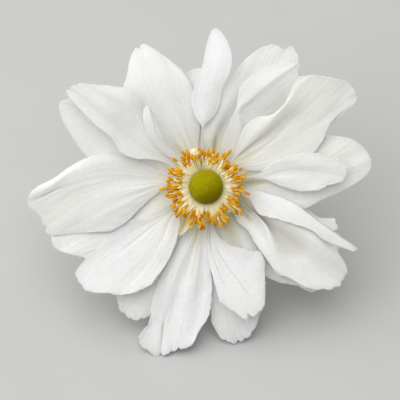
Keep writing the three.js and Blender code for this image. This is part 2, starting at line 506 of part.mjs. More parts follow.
// Middle line of receptacle and stem: down along the flower's axis, round a bend and
// along the surface, which lies at floorHeight.
function stemLine(floorHeight) {
  const elevation = THREE.MathUtils.degToRad(FACE_ELEVATION);
  const axis = new THREE.Vector3(0, -Math.cos(elevation), Math.sin(elevation));
  const lyingHeight = floorHeight + STEM_RADIUS;
  const bendDrop = STEM_BEND_RADIUS * (1 - Math.cos(elevation));
  const straight = (-lyingHeight - bendDrop) / Math.sin(elevation);
  const bendStart = axis.clone().multiplyScalar(-straight);
  const points = [
    axis.clone().multiplyScalar(RECEPTACLE_TOP),
    axis.clone().multiplyScalar(RECEPTACLE_BOTTOM),
    axis.clone().multiplyScalar(RECEPTACLE_BOTTOM - RECEPTACLE_TAPER),
    axis.clone().multiplyScalar(-straight * STEM_KNOT_SHARE),
    bendStart,
  ];
  for (let k = 1; k <= STEM_BEND_STEPS; k++) {
    const slope = elevation * (1 - k / STEM_BEND_STEPS);
    const forward = STEM_BEND_RADIUS * (Math.sin(elevation) - Math.sin(slope));
    const down = STEM_BEND_RADIUS * (Math.cos(slope) - Math.cos(elevation));
    points.push(bendStart.clone().add(new THREE.Vector3(0, forward, -down)));
  }
  const lyingStart = points[points.length - 1];
  for (let k = 1; k <= STEM_LYING_STEPS; k++) {
    const t = k / STEM_LYING_STEPS;
    const sweep = STEM_SIDE_SWEEP * t * t;
    points.push(lyingStart.clone().add(new THREE.Vector3(sweep, STEM_LYING_LENGTH * t, 0)));
  }
  return new THREE.CatmullRomCurve3(points);
}

// Radius of receptacle and stem at a distance along their middle line.
function stemRadius(distance) {
  const shoulder = RECEPTACLE_TOP - RECEPTACLE_BOTTOM;
  const taper = THREE.MathUtils.smoothstep(distance, shoulder, shoulder + RECEPTACLE_TAPER);
  return THREE.MathUtils.lerp(RECEPTACLE_RADIUS, STEM_RADIUS, taper);
}

// Closed round rod along a curve, with a radius that changes on the way.
function rodGeometry(curve, steps, sides, radiusAt) {
  const frames = curve.computeFrenetFrames(steps, false);
  const length = curve.getLength();
  const positions = [];
  for (let j = 0; j <= steps; j++) {
    const centre = curve.getPointAt(j / steps);
    const radius = radiusAt((length * j) / steps);
    for (let i = 0; i < sides; i++) {
      const turn = (2 * Math.PI * i) / sides;
      const rim = centre.clone();
      rim.addScaledVector(frames.normals[j], radius * Math.cos(turn));
      rim.addScaledVector(frames.binormals[j], radius * Math.sin(turn));
      positions.push(...rim.toArray());
    }
  }
  const first = positions.length / 3;
  positions.push(...curve.getPointAt(0).toArray(), ...curve.getPointAt(1).toArray());
  const faces = [];
  for (let i = 0; i < sides; i++) {
    const k = (i + 1) % sides;
    for (let j = 0; j < steps; j++) {
      const a = j * sides;
      const b = a + sides;
      faces.push(a + i, a + k, b + k, a + i, b + k, b + i);
    }
    faces.push(first, k, i, first + 1, steps * sides + i, steps * sides + k);
  }
  const geometry = new THREE.BufferGeometry();
  geometry.setAttribute("position", new THREE.Float32BufferAttribute(positions, 3));
  geometry.setIndex(faces);
  geometry.computeVertexNormals();
  return geometry;
}

// ---------------------------------------------------------------- assembly

function piece(name, geometry, material) {
  const mesh = new THREE.Mesh(geometry, new THREE.MeshStandardMaterial(MATERIALS[material]));
  mesh.name = name;
  return mesh;
}

function buildFlower() {
  const flower = new THREE.Group();
  for (const [name, tepal] of Object.entries(TEPALS)) {
    const material = name.startsWith("petaloid") ? "petaloid" : "tepal";
    flower.add(piece(name, sheetGeometry(tepalRows(tepal), TEPAL_THICKNESS), material));
  }
  flower.add(piece("carpel_head", carpelHeadGeometry(), "carpel"));
  let number = 0;
  for (const [start, end, inner, outer, count] of STAMEN_CLUMPS) {
    for (let k = 0; k < count; k++) {
      number += 1;
      const angle = start + ((end - start) * (k + 0.5)) / count;
      const reach = k % 2 === 0 ? outer : inner;
      const name = `stamen_${String(number).padStart(2, "0")}`;
      flower.add(stamenMesh(name, angle, reach, ANTHER_RADIUS, ANTHER_LENGTH, "anther"));
    }
  }
  const { angle, reach, radius } = PETALOID_BALL;
  flower.add(stamenMesh("petaloid_ball", angle, reach, radius, 2 * radius, "petaloid"));
  return flower;
}

const anemone = new THREE.Group();
const flower = buildFlower();
flower.rotation.x = THREE.MathUtils.degToRad(90 - FACE_ELEVATION);
anemone.add(flower);
const floorHeight = new THREE.Box3().setFromObject(anemone, true).min.z;
const line = stemLine(floorHeight);
const stem = rodGeometry(line, STEM_STEPS, STEM_SIDES, stemRadius);
anemone.add(piece("receptacle_and_stem", stem, "stem"));
const box = new THREE.Box3().setFromObject(anemone, true);
const middle = box.getCenter(new THREE.Vector3());
anemone.position.set(-middle.x, -middle.y, -box.min.z);

export default anemone;
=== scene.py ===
"""A picked Japanese anemone, laid down on a pale floor.

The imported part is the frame: it says where the flower's centre lies. Around it every
tepal is lofted again from the veins that shaped its solid, now thin, fluted and with
a slightly ragged margin, and the stamens, carpels and stem get their fine shape.
The flower's own shape is in millimetres in the frame of its face (right, up, towards
the viewer); place() turns that into metres in the part's frame.
"""

import math

import bpy
import numpy as np
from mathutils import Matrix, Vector, kdtree


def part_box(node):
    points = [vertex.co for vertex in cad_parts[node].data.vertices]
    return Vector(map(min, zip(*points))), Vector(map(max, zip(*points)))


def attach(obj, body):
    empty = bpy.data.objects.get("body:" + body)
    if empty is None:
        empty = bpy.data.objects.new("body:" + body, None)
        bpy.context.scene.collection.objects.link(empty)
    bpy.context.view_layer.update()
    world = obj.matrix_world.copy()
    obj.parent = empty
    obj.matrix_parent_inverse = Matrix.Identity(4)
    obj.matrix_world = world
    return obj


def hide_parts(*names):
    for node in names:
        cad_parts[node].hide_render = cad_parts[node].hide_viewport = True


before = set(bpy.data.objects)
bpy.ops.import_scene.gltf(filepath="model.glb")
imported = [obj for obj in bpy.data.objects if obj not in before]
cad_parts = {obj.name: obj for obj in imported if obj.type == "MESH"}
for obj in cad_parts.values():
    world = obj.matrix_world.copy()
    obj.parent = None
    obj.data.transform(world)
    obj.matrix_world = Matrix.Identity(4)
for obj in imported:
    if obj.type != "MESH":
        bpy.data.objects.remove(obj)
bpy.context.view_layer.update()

# ---------------- driving dimensions
MM = 0.001
BODY = "root"
FACE_ELEVATION = math.radians(50)  # how far the flower's face looks up

CLAW_RADIUS = 4.0  # where a tepal's narrow claw meets the receptacle
CLAW_SPREAD = 1.25  # the claws are this much wider than on the solids
BOWL_RADIUS = 28.0
BOWL_RISE = 3.2
BOWL_BASE = -1.6
LAYER_STEP = 0.45
LAYER_SPREAD = 0.04
LAYER_SPREAD_END = 30.0
LIFT_START = 2.0  # the lengthwise ridges of a tepal begin at this radius
LIFT_FULL = 13.0  # and have their full height from this radius on

ALONG_STEPS = 84  # fine mesh of a tepal, from claw to tip
ACROSS_STEPS = 80
SHEET_THICKNESS = 0.26
EDGE_THICKNESS = 0.10
EDGE_FADE = 3.0  # a sheet thins over this distance from its margin
RIM_BULGE = 0.45  # how far the rounded rim stands out, as a share of the edge's thickness
FOLDS = [[3.8, 0.15], [1.5, 0.055], [0.7, 0.02]]  # spacing and height of lengthwise folds
FOLD_DRIFT = 0.03  # how far, of the width, a fold wanders sideways
FOLD_DRIFT_SWINGS = 4
FOLD_STRENGTH = 0.55  # a fold's mean height, as a share of its greatest
FOLD_STRENGTH_SWINGS = (5, 5)  # how often that changes along and across
SWAY = 0.18  # height of the slow waves over a whole tepal
SWAY_SWINGS = (4, 3)
TOOTH_SPACINGS = [1.9, 0.8]
SIDE_TEETH = 0.6  # depth of the teeth at its sides, as a share of those at its tip
RUFFLE_SPACING = 2.4
RUFFLE_REACH = 2.2  # how far in from the margin the ruffles go
SIDE_RUFFLE = 0.5  # height of the ruffles at its sides, as a share of those at its tip
CREASE_FADE = 0.15  # part of the length over which a crease begins and ends

# Parts of a tepal's length over which these grow from nothing to their full size.
SWAY_GROWS = (0.15, 0.6)
FOLDS_GROW = (0.08, 0.35)
RUFFLES_GROW = (0.3, 0.7)
SIDE_TEETH_GROW = (0.15, 0.5)
TIP_TEETH_GROW = (0.7, 1.0)

HEAD_RADIUS = 4.15
HEAD_CENTRE = 6.1
CARPEL_COUNT = 1300
CARPEL_RELIEF = 0.10
CARPEL_SCATTER = 0.016  # how unevenly the carpels stand
CARPEL_POINT = 0.33  # width of a carpel's point, as a share of the carpel's
CARPEL_MOUND_SHARE = 0.6  # how much of the relief is mound
CARPEL_POINT_SHARE = 0.5  # and how much is point
CARPEL_SINK = 0.75  # share of the relief that lies below the head's radius
CARPEL_FURROW = 1.3  # the furrows level off this many half spacings from a carpel's middle
CARPEL_TIP = (0.45, 0.55)  # how much mound and point show as the bright tip
GLOBE_SUBDIVISIONS = 7
SHADED_SIDE = [0.40, -0.85, 0.35]  # painted shade: the head is darker on this side, away from the light
SHADED_SIDE_RANGE = (0.2, 1.0)  # from here on, to here most, along that side

RECEPTACLE_RADIUS = 3.7
RECEPTACLE_TOP = 2.7
RECEPTACLE_BOTTOM = -1.5
RECEPTACLE_TAPER = 3.6
RECEPTACLE_STRAIGHT = 0.75  # part of its height that doesn't taper yet
RECEPTACLE_ROUNDING = 0.12  # share of its radius that is lost at the rounded top
RECEPTACLE_ROUNDED = 0.8  # height of the rounded stretch
STEM_RADIUS = 1.1
STEM_SLIMNESS = 0.97  # the stem's own radius, as a share of its solid's
STEM_BEND_RADIUS = 34.0
STEM_LYING_LENGTH = 16.0
STEM_SIDE_SWEEP = 6.0
STEM_GUIDE = 0.7  # one point keeps the stem straight, at this part of the way to the bend
STEM_STEPS = 150
STEM_SIDES = 36
STEM_RIBS = 7
RIB_DEPTH = 0.05

FILAMENT_RADIUS = 0.14
FILAMENT_SIDES = 5
THREAD_STEPS = 7
THREAD_TAPER = (1.15, 0.8)  # thickness at foot and end, as a share of the radius above
THREAD_SIZES = (0.85, 1.2)
FOOT_RADIUS = 3.45  # a thread starts here, below the carpels
FOOT_HEIGHT = 2.8
KNEE_RADIUS = 4.4  # it rises close to the carpels, then turns outwards
KNEE_HEIGHT = 5.5
KNEE_OUT = 0.3  # knees stand up to this much further out
KNEE_SCATTER = 0.10  # and about this much higher or lower
DISC_THREADS = 1500  # threads of the deeper stamens, which show as a pale disc
DISC_THREAD_RADIUS = 0.105
DISC_REACH = [6.6, 8.8]
DISC_HEIGHT = [5.3, 5.7]
DISC_DRIFT = 2.0  # degrees by which these threads lean sideways
ANTHER_LENGTH = 1.5
ANTHER_WIDTH = 0.68
ANTHER_DEPTH = 0.52
ANTHER_GROOVE = 0.45  # how much the groove between its two lobes takes off the depth
ANTHER_GROOVE_WIDTH = 0.42
ANTHER_BLUNTNESS = 0.45  # power of the sine along it: lower is blunter
ANTHER_RINGS = 9
ANTHER_SIDES = 14
ANTHER_HEIGHT = 5.3
ANTHER_RISE = 0.12  # how much higher the anthers stand for each unit of reach
ANTHER_SCATTER = 0.3  # how far they stand above or below that
ANTHER_SIZES = (0.8, 1.2)
ANTHER_TURN = 22.0  # degrees by which an anther points off its thread
ANTHER_TILT = (0.05, 0.2)  # mean and spread of its slope forward
ANTHER_ROLL = 0.8  # how far it may be rolled about its length
THREAD_LEAN = 3.0  # degrees by which its thread comes from one side
TUFT_CROWDING = 1.5  # a tuft's number of stamens is raised by this
TUFT_SPREAD = 1.25  # and its spread by this
TUFT_TRIES = 8  # each anther takes the freest of this many places
BALL = {"angle": 108, "reach": 8.7, "radius": 1.45}
BALL_RINGS = 26
BALL_SIDES = 36
BALL_FLATNESS = 0.92
BALL_POLES = 0.9
BALL_FURROW = {"turn": 0.6, "width": 0.25, "depth": 0.16}
BALL_LUMPS = 0.05
BALL_THREAD_RADIUS = 0.21
BALL_THREAD_SIDES = 8
BALL_THREAD_END = (0.6, 0.3)  # how far short of its middle, in radii, and below it
BALL_PUSH = 1.2  # how far the rolled petaloid pushes the anthers near it forward
BALL_NEAR = 0.3  # near is less than this from its surface

SEEDS = {"tepals": 100, "carpels": 300, "stamens": 500, "ball": 77}  # of the random numbers

# Tufts of stamens: angle (anticlockwise from the flower's right) and reach at which
# their anthers lie, how far these spread, and how many there are.
STAMEN_TUFTS = [
    [119, 9.7, 0.5, 2], [123, 8.9, 0.4, 3], [121, 8.4, 0.3, 4], [130, 7.7, 0.5, 5], [138.5, 10.2, 0, 1],
    [110, 7.5, 0.6, 7], [95.5, 8.8, 0.4, 3], [93, 6.7, 0.2, 1], [86, 7.9, 0.7, 7], [85, 8.5, 0.3, 2],
    [80, 6.6, 0.3, 3], [78.5, 9.0, 0.2, 1], [72, 7.9, 0.5, 5], [64, 6.9, 0.4, 3], [57.5, 10.2, 0.4, 2],
    [59, 9.0, 0.5, 3], [48.5, 7.4, 0.6, 7], [35, 8.7, 0.4, 4], [26, 9.5, 0.3, 1], [31, 6.5, 0.7, 8],
    [27, 8.0, 0.5, 4], [19, 7.4, 0.5, 5], [13.5, 8.6, 0.5, 5], [16, 9.9, 0.4, 2], [-4, 6.9, 0.4, 3],
    [-3, 8.7, 0.5, 5], [-13, 8.0, 0.6, 7], [-7, 10.5, 0, 1], [-22, 6.5, 0.3, 1], [-32, 7.2, 0.6, 7],
    [-31, 8.5, 0.5, 5], [-38, 9.4, 0.5, 3], [-44, 9.7, 0.2, 1], [-45, 6.9, 0.4, 3], [-35, 11, 0, 1],
    [-56, 7.1, 0.5, 7], [-66, 7.7, 0.6, 9], [-61, 9.2, 0.5, 4], [-58, 10.4, 0.2, 1], [-68, 9.8, 0.4, 2],
    [-84, 7.2, 0.5, 5], [-79, 8.3, 0.6, 7], [-76, 9.3, 0.3, 3], [-98, 7.2, 0.5, 5], [-105, 8.2, 0.7, 10],
    [-99, 8.9, 0.4, 3], [-95, 10, 0.3, 2], [-110, 9.7, 0.4, 2], [-111, 10.5, 0.1, 1], [-118, 9.2, 0, 1],
    [-115, 7.4, 0.5, 7], [-133, 7.2, 0.5, 5], [-128, 8.3, 0.5, 7], [-127, 9.7, 0.2, 1], [-139, 9.4, 0.6, 5],
    [-149, 9.6, 0.3, 2], [-155, 6.7, 0.4, 3], [-151, 7.6, 0.3, 4], [-159, 8.6, 0.1, 2], [-168, 9.8, 0.3, 2],
    [-167, 8.6, 0.5, 5], [-168, 7.2, 0.4, 4], [-179, 9.2, 0.5, 4], [-178, 8.0, 0.5, 5], [177, 6.7, 0.3, 3],
    [-177.5, 10.9, 0, 1], [175, 9.6, 0.1, 1], [167, 9.0, 0.3, 3], [165.5, 7.0, 0.3, 4],
    [154.5, 9.2, 0.5, 4], [156, 8.1, 0.5, 7], [148, 8.0, 0.4, 4], [153, 7.0, 0.5, 5],
]

# Free margins that are not plain: how deep the teeth are cut, how far the ruffles wave
# out of the sheet, and notches of [place across the tip, width, depth].
PLAIN_MARGIN = (0.15, 0.10, [])
MARGINS = {
    "tepal_1_back": (0.35, 0.15, [[0.62, 1.2, 0.2]]),
    "tepal_2_front": (0.35, 0.12, []),
    "tepal_3_front": (0.35, 0.15, [[0.82, 0.9, 0.5]]),
    "tepal_4_front": (0.45, 0.20, [
        [0.46, 0.5, 0.35], [0.52, 0.5, 0.5], [0.58, 0.6, 0.35], [0.64, 0.5, 0.5],
        [0.70, 0.6, 0.4], [0.97, 0.5, 1.4],
    ]),
    "tepal_4_back": (0.45, 0.15, [[0.185, 0.35, 1.1]]),
    "tepal_5_front": (0.70, 0.30, [[0.31, 0.6, 0.4], [0.50, 0.9, 0.7]]),
    "tepal_5_back": (0.45, 0.10, [[0.43, 0.5, 0.6]]),
    "tepal_6_front": (0.65, 0.30, [[0.59, 0.7, 0.5], [0.75, 2.2, 0.5]]),
    "tepal_7_front": (0.40, 0.12, []),
    "tepal_7_back": (0.45, 0.20, [[0.42, 0.6, 0.3]]),
    "tepal_9_front": (0.10, 0.10, [[0.40, 1.2, 0.8]]),
    "tepal_10_front": (0.45, 0.15, [[0.31, 0.7, 0.4]]),
    "tepal_11_front": (0.10, 0.10, [[0.34, 0.8, 0.7]]),
    "tepal_11_tongue": (0.0, 0.0, []),
    "petaloid_curled": (0.1, 0.05, []),
}

# Sharp creases and broad hollows along a tepal, pressed in and darkened with painted shade:
# place across at the start and at the end, part of the length where it starts and ends,
# depth and width.
CREASES = {
    "tepal_4_front": [[0.56, 0.57, -0.1, 0.75, 0.35, 6.0], [0.86, 0.86, -0.1, 0.45, 0.35, 1.6]],
    "tepal_5_inner": [[0.45, 0.35, 0.0, 0.95, 0.30, 4.0]],
    "tepal_3_back": [[0.60, 0.55, -0.1, 0.35, 0.35, 3.0]],
    "tepal_1_front": [[0.80, 0.80, 0.0, 0.95, 0.22, 6.0]],
    "tepal_5_front": [[0.42, 0.29, 0.3, 0.95, 0.24, 0.6], [0.72, 0.66, 0.2, 0.8, 0.12, 0.6]],
    "tepal_6_front": [
        [0.45, 0.45, 0.05, 0.6, 0.15, 6.0], [0.50, 0.46, 0.1, 0.55, 0.12, 0.7],
        [0.34, 0.36, 0.15, 0.6, 0.10, 0.7],
        [0.64, 0.60, 0.7, 1.0, 0.40, 1.0], [0.72, 0.68, 0.1, 0.6, 0.10, 0.6],
    ],
    "tepal_7_front": [[0.30, 0.26, 0.1, 0.6, 0.10, 0.7], [0.62, 0.60, 0.15, 0.7, 0.10, 0.7]],
    "tepal_9_front": [[0.69, 0.67, 0.72, 1.0, 0.35, 0.8], [0.35, 0.42, 0.1, 0.5, 0.12, 0.8]],
    "tepal_11_front": [
        [0.62, 0.55, 0.1, 0.7, 0.12, 0.8], [0.10, 0.14, -0.1, 0.35, 0.30, 1.8],
        [0.42, 0.36, -0.1, 0.42, 0.16, 0.9],
    ],
    "tepal_2_front": [[0.72, 0.42, 0.12, 0.6, 0.12, 1.0], [0.42, 0.45, 0.1, 0.8, 0.20, 5.0]],
    "tepal_1_back": [[0.27, 0.30, -0.1, 0.32, 0.40, 1.3]],
}

# Sheets with lower folds than the rest.
FOLD_SCALES = {"tepal_11_tongue": 0.3, "tepal_12_front": 0.4, "petaloid_curled": 0.3}

# Painted light and shade: how far each tepal's white leans to a darker, warmer white, from 0 to 1; tepals
# that lie in shade lean far, lit ones stay a brighter white.
PLAIN_SHADE_AMOUNT = 0.5
TEPAL_SHADE_AMOUNT = {
    "tepal_2_front": 0.9, "tepal_3_back": 0.7, "tepal_4_front": 0.55, "tepal_5_inner": 1.0,
    "tepal_5_front": 0.1, "tepal_5_back": 0.1, "tepal_6_front": 0.0, "tepal_7_front": 0.2,
    "tepal_9_front": 0.7, "tepal_10_front": 0.6, "tepal_11_tongue": 0.0, "tepal_11_front": 0.5,
    "tepal_12_front": 0.0,
}

# The tepals, as on the part: the angle at which the tepal leaves the receptacle, its
# layer, which is how far forward it lies, the width of its claw, and its veins, which
# are lines from the claw to the edge, clockwise across it. A vein's point is [right, up,
# lift above its own layer].
TEPALS = {
    "tepal_12_front": [94, 2.7, 1.2, [
        [[-1.1, 10.3, -0.4], [-1, 14.8, 1.3], [-2.9, 18, 0.7], [-3.6, 21, 0], [-2.9, 25, -0.7],
         [-1.1, 29.3, -1.1], [0, 34.8, -1.7], [1.3, 39, -2.2]],
        [[-0.9, 10.3, -0.4], [-0.8, 14.8, 1.3], [-0.3, 20.8, 0.1], [1.3, 28.8, -0.8], [2.8, 34.8, -1.4],
         [2.3, 39.6, -2.2]],
        [[-0.7, 10.3, -0.4], [-0.6, 14.8, 1.2], [2.1, 17.8, 0.3], [3.6, 20.8, -0.3], [3.9, 24, -0.5],
         [5.8, 28, -0.5], [6.5, 31.8, -0.7], [5.3, 36.3, -1.4], [3.5, 39, -2]],
    ]],
    "tepal_1_back": [72, 0.3, 2.2, [
        [[-0.5, 8.8, 0.8], [-1.3, 12.5, 1.4], [-0.4, 16.8, 2.4], [2.5, 21.3, 2.4], [4.5, 24.3, 2],
         [8.5, 30.3, 0.9], [10.3, 32.3, 0.5]],
        [[1.5, 8.8, 0.9], [1.6, 12.8, 2], [4.5, 20, 2], [9.5, 28, 0.8], [14, 34.9, 0.6]],
        [[2.8, 8.8, 0], [4.1, 14.3, 0.6], [7.5, 19.8, 0.7], [12.5, 28, 0.3], [17, 35.6, 0.7]],
        [[4.5, 8.8, 0], [7.5, 14.8, 0], [11.5, 21.3, 0], [16, 28, 0], [19.5, 34.4, 0.7]],
        [[5.8, 8.3, 0], [9.3, 14.3, 0], [14, 20.3, 0], [18.5, 27.3, 0], [21.2, 35.3, 0.7]],
        [[6.8, 7.5, 0], [11, 12.3, 0], [16.5, 17.8, 0], [21.3, 23.3, 0], [23.6, 28.8, 0], [23, 33, 0.4]],
    ]],
    "tepal_1_front": [59, 1.6, 2.4, [
        [[4, 6.8, 0], [3.8, 9.8, 0.1], [5.8, 16, 0.2], [7.5, 19.8, 0.2], [8.6, 25, 0.1], [12, 27.9, 0.1],
         [16.8, 30.3, 0.1], [22.3, 30.9, 0.1]],
        [[6.3, 6.8, 0.1], [7.5, 9.8, 0.2], [8.4, 15.3, 0.4], [8, 18.8, 0.5], [11.5, 22.3, 0.6],
         [15.3, 25.5, 0.6], [18.8, 28.1, 0.5], [22.5, 30.5, 0.2]],
        [[6.8, 6.8, -0.1], [8.3, 9.8, -0.1], [9.3, 15.3, 0.1], [9, 18.8, 0.2], [12.5, 21.8, 0.2],
         [16.3, 24.9, 0.2], [19.8, 27.6, 0.1], [22.8, 30, 0]],
        [[7, 6.8, -0.2], [9.8, 11, -0.3], [12.8, 16, -0.5], [17.8, 20.5, -0.7], [23.5, 27.3, -0.5]],
        [[7.3, 6.8, -0.3], [11, 10.5, -0.5], [16, 14.8, -0.9], [21.5, 19.8, -1], [25, 24.8, -0.8]],
    ]],
    "tepal_2_front": [43, 2.6, 2.4, [
        [[6.3, 6.8, 0], [7.5, 9.8, 0.1], [9.3, 14.5, 0.3], [12.8, 17.4, 0.5], [16.5, 17.8, 0.6],
         [19.3, 20.3, 0.8], [21.3, 24.8, 1.1], [23.3, 27.4, 1.1]],
        [[6.8, 6.8, 0.1], [9.8, 9.8, 0.4], [13, 13.3, 0.8], [16.5, 16.8, 0.9], [20.3, 21, 0.9],
         [23, 24.8, 0.9], [26.5, 27.8, 1]],
        [[7.3, 6.8, 0], [11, 9.8, -0.1], [15.5, 12.8, -0.3], [20.5, 16.8, -0.5], [25.5, 21.3, 0],
         [31, 27.3, 0.6]],
        [[7.5, 6.3, 0], [11.5, 8.3, 0], [16.5, 10.8, -0.2], [22.3, 14.3, -0.6], [29, 18.8, -0.6],
         [36, 25.8, -0.2]],
        [[8.3, 5.3, 0], [12.5, 6.5, -0.1], [17.8, 8.8, -0.5], [23.5, 12.3, -0.9], [30.5, 17.3, -1.1],
         [37.8, 22.3, -0.9]],
        [[8.5, 4.3, -0.1], [13, 4, -0.3], [19, 4.5, -0.8], [25, 6.8, -1.1], [29, 11.5, -1.3],
         [30.5, 15.8, -1.4], [34, 17.6, -1.4]],
    ]],
    "tepal_3_front": [13, 3, 1.8, [
        [[9, 2.3, 0], [12.8, 3.1, 0.1], [16.3, 5.8, 0.3], [21.8, 8, 0.5], [27.3, 8.4, 0.6],
         [33.3, 7.1, 0.5]],
        [[9.3, 2, 0], [13.5, 3, 0], [20.3, 5.3, 0.2], [27.5, 6, 0.3], [35, 4.8, 0.2]],
        [[9.5, 1.9, -0.1], [14, 2.8, -0.1], [21.8, 4, -0.3], [28.5, 3.4, -0.3], [34.5, 1.8, -0.2]],
        [[9.3, 1.8, 0], [14, 2.3, -0.1], [20.3, 2, -0.2], [26.5, 1.3, -0.3], [31.5, 0.6, -0.3]],
        [[9, 1.6, 0], [14.5, 1.9, 0], [19.5, -0.1, -0.1], [23.5, -1.1, -0.2], [28, -0.9, -0.2]],
    ]],
    "tepal_3_back": [2, 1, 2.4, [
        [[11, 3.8, 0], [19.8, 6.8, 0], [26, 9.3, 0], [30.3, 12.9, 0.1]],
        [[11.5, 2.8, 0], [21, 5.3, 0], [29.8, 8, 0.1], [36, 12.1, 0.1]],
        [[12, 1.8, 0], [22.3, 3.5, 0], [32.3, 5.3, 0], [40.5, 8.5, 0]],
        [[12, 0.8, 0], [22.3, 1.3, -0.1], [32.3, 2.3, -0.1], [41.3, 4.8, 0]],
        [[11.5, -0.3, 0], [21.5, -1.3, 0], [30, -1, 0], [36.5, 0.4, 0]],
        [[11, -1.5, -0.1], [17.3, -4.3, -0.1], [24, -5.5, 0], [29, -3.1, 0]],
    ]],
    "tepal_4_front": [330, 2.4, 2.4, [
        [[8.5, -2, 0.1], [11, -3.3, 0.6], [13, -6.6, 1.2], [17.3, -8, 1.7], [22.3, -9.5, 1.9],
         [26.3, -10.8, 1.8], [29.4, -13.3, 1.6], [33.5, -14.9, 1.2], [36.5, -16.1, 0.8]],
        [[8.5, -1, -0.1], [11, -0.8, -0.1], [14, -1, 0], [21.8, -4.3, 0.3], [27.5, -8.3, 0.4],
         [32.3, -11.4, 0.6], [37.9, -15.6, 0.5]],
        [[8.8, -2.3, -0.2], [13, -3.5, -0.2], [19, -5.3, 0], [25.5, -8.8, 0], [30, -12.8, -0.1],
         [32.9, -15.5, -0.2]],
        [[8.8, -3.3, -0.3], [13, -5.5, 0.2], [19.8, -9.3, 0.8], [27.3, -14, 0.6], [35.3, -20.8, -0.6]],
        [[8.5, -4, -0.3], [14, -8.8, -1.5], [20.5, -14.3, -1.9], [27, -19.8, -2], [32.9, -25, -1.6]],
        [[8.1, -4, 0.1], [10.3, -5.3, 0.3], [13, -7.3, 0.5], [15, -9.8, 0.4], [16.3, -13.3, 0.1],
         [17.5, -17.3, -0.5], [20, -20.8, -1], [25.3, -25.3, -1.3]],
        [[7.5, -4.8, -0.3], [9.8, -6.9, -1.1], [11.9, -9.5, -1.2], [13.9, -12.3, -0.8],
         [15.5, -15.8, -0.3], [17.3, -19.3, -0.3], [20, -22.4, -0.5]],
        [[6.5, -6, 0.1], [8, -8.8, 0.1], [10.5, -10.8, 0.1], [12.3, -14, 0.1], [14.8, -17.5, 0],
         [17.9, -22.3, -0.2]],
    ]],
    "tepal_4_back": [337, 0, 2.4, [
        [[11.5, -2.3, 0], [19.8, -4, 0], [24.8, -5.3, 0], [28.5, -7.6, -0.3], [32.6, -7.7, -0.1]],
        [[11, -3.8, 0], [19.8, -7.8, 0], [27.3, -10.3, 0.1], [33, -11.3, 0.6]],
        [[10, -5.3, 0], [18.5, -12, 0], [26, -17, 0], [31.8, -21.3, 0.2]],
        [[9.3, -6.8, 0], [16.5, -14.5, 0], [23, -20.8, 0], [26.8, -26.3, 0]],
        [[8.5, -8, 0], [14, -15.8, 0], [18.5, -21.3, 0], [22.8, -24.7, 0]],
        [[7.3, -8.5, 0], [10.3, -13.3, 0], [12.3, -17.8, 0], [14.5, -21.9, 0], [18.3, -23.9, 0]],
    ]],
    "tepal_5_front": [277, 2, 2.4, [
        [[2, -9.5, 0.2], [3.3, -12.3, 0.2], [6.8, -14.6, 0.2], [10.8, -15.5, 0.1], [13.6, -16, 0],
         [14.5, -17.5, 0], [14.8, -24, -0.1]],
        [[1.8, -10.3, 0], [4.8, -15.8, 0.2], [9.3, -21.3, 0.1], [12.5, -26.3, 0], [14.3, -30.3, 0]],
        [[1.5, -10.3, 0], [3, -15.8, -0.1], [6.5, -22.5, -0.1], [10, -28.3, 0], [12.3, -32.1, 0.2]],
        [[1, -10.3, -0.1], [1.8, -15.8, -0.1], [4, -22, 0], [7.3, -28, 0], [9.8, -33, 0.1]],
        [[0.8, -10.3, 0.1], [1, -15.3, 0.1], [2.3, -21, 0.1], [4.3, -26.3, 0.1], [6.3, -30.9, 0]],
        [[0.5, -10.3, 0.3], [0.3, -15.8, 0.4], [1.3, -21.3, 0.3], [2.5, -25.5, 0.2], [3.4, -28.9, 0]],
    ]],
    "tepal_5_inner": [303, 0.8, 1.8, [
        [[6, -7, 0.3], [9.3, -8.8, 0.1], [11.3, -11.5, -0.1], [12.8, -15.8, -0.3], [13, -20.8, -0.5]],
        [[5, -8.3, 0], [7.3, -12.8, -0.3], [9.5, -17.8, -0.5], [10.5, -22.3, -0.6]],
        [[3.8, -8.8, 0], [5, -13.3, -0.3], [6.8, -18.8, -0.5], [8, -23.8, -0.6]],
        [[2.3, -9.3, 0.2], [2.3, -13.3, 0], [3.5, -18.8, -0.4], [5.8, -23.3, -0.6]],
    ]],
    "tepal_5_back": [270, 0, 2, [
        [[2.5, -12, 0], [8, -22, 0], [12, -28.3, 0], [13.8, -31.8, 0]],
        [[1.8, -12, 0], [6, -24.5, 0], [11.1, -37.3, -0.4]],
        [[1.3, -12, 0], [4.3, -25.8, -0.1], [7.1, -39.2, -0.5]],
        [[0.8, -12, 0], [2.5, -25.8, 0], [3.4, -37.5, -0.4]],
        [[0.3, -12, 0], [1, -24.5, 0], [1.4, -33.8, 0]],
    ]],
    "tepal_6_front": [256, 1, 2.4, [
        [[0.3, -10.3, 0.2], [0.5, -15.8, 0.1], [1.3, -20.8, 0], [1.6, -26.3, -0.2], [0.9, -31.8, -0.1],
         [-1.4, -35.8, 0.3]],
        [[-0.5, -10.8, 0], [-0.8, -20.3, -0.3], [-1.5, -29.5, -0.7], [-3.6, -39.7, 0.6]],
        [[-1.3, -10.8, 0.1], [-3, -21.5, 0.3], [-5, -31.3, -0.4], [-7.5, -40.8, 0.6]],
        [[-2, -10.8, 0], [-5.5, -21.5, -0.2], [-8.3, -31.3, -0.9], [-10, -41.9, 0.5]],
        [[-2.8, -10.8, 0.1], [-7.5, -20.8, 0.3], [-10.3, -30.3, -0.5], [-12.4, -42.4, 0.6]],
        [[-3.8, -11, 0], [-9.5, -21.5, -0.2], [-12.3, -29.5, -0.2], [-16.3, -40, 0.4]],
        [[-5.3, -11.3, 0.2], [-9, -18.3, 0], [-12.3, -24.5, 0], [-13.8, -30.3, 0], [-13.7, -33.6, 0.3],
         [-15.3, -35.2, 0.4], [-16.9, -37.5, 0.4]],
    ]],
    "tepal_7_back": [237, 0, 2, [
        [[-5, -8.3, 0], [-8.5, -17, 0], [-11.5, -24.5, 0], [-13.9, -32.3, 0.1]],
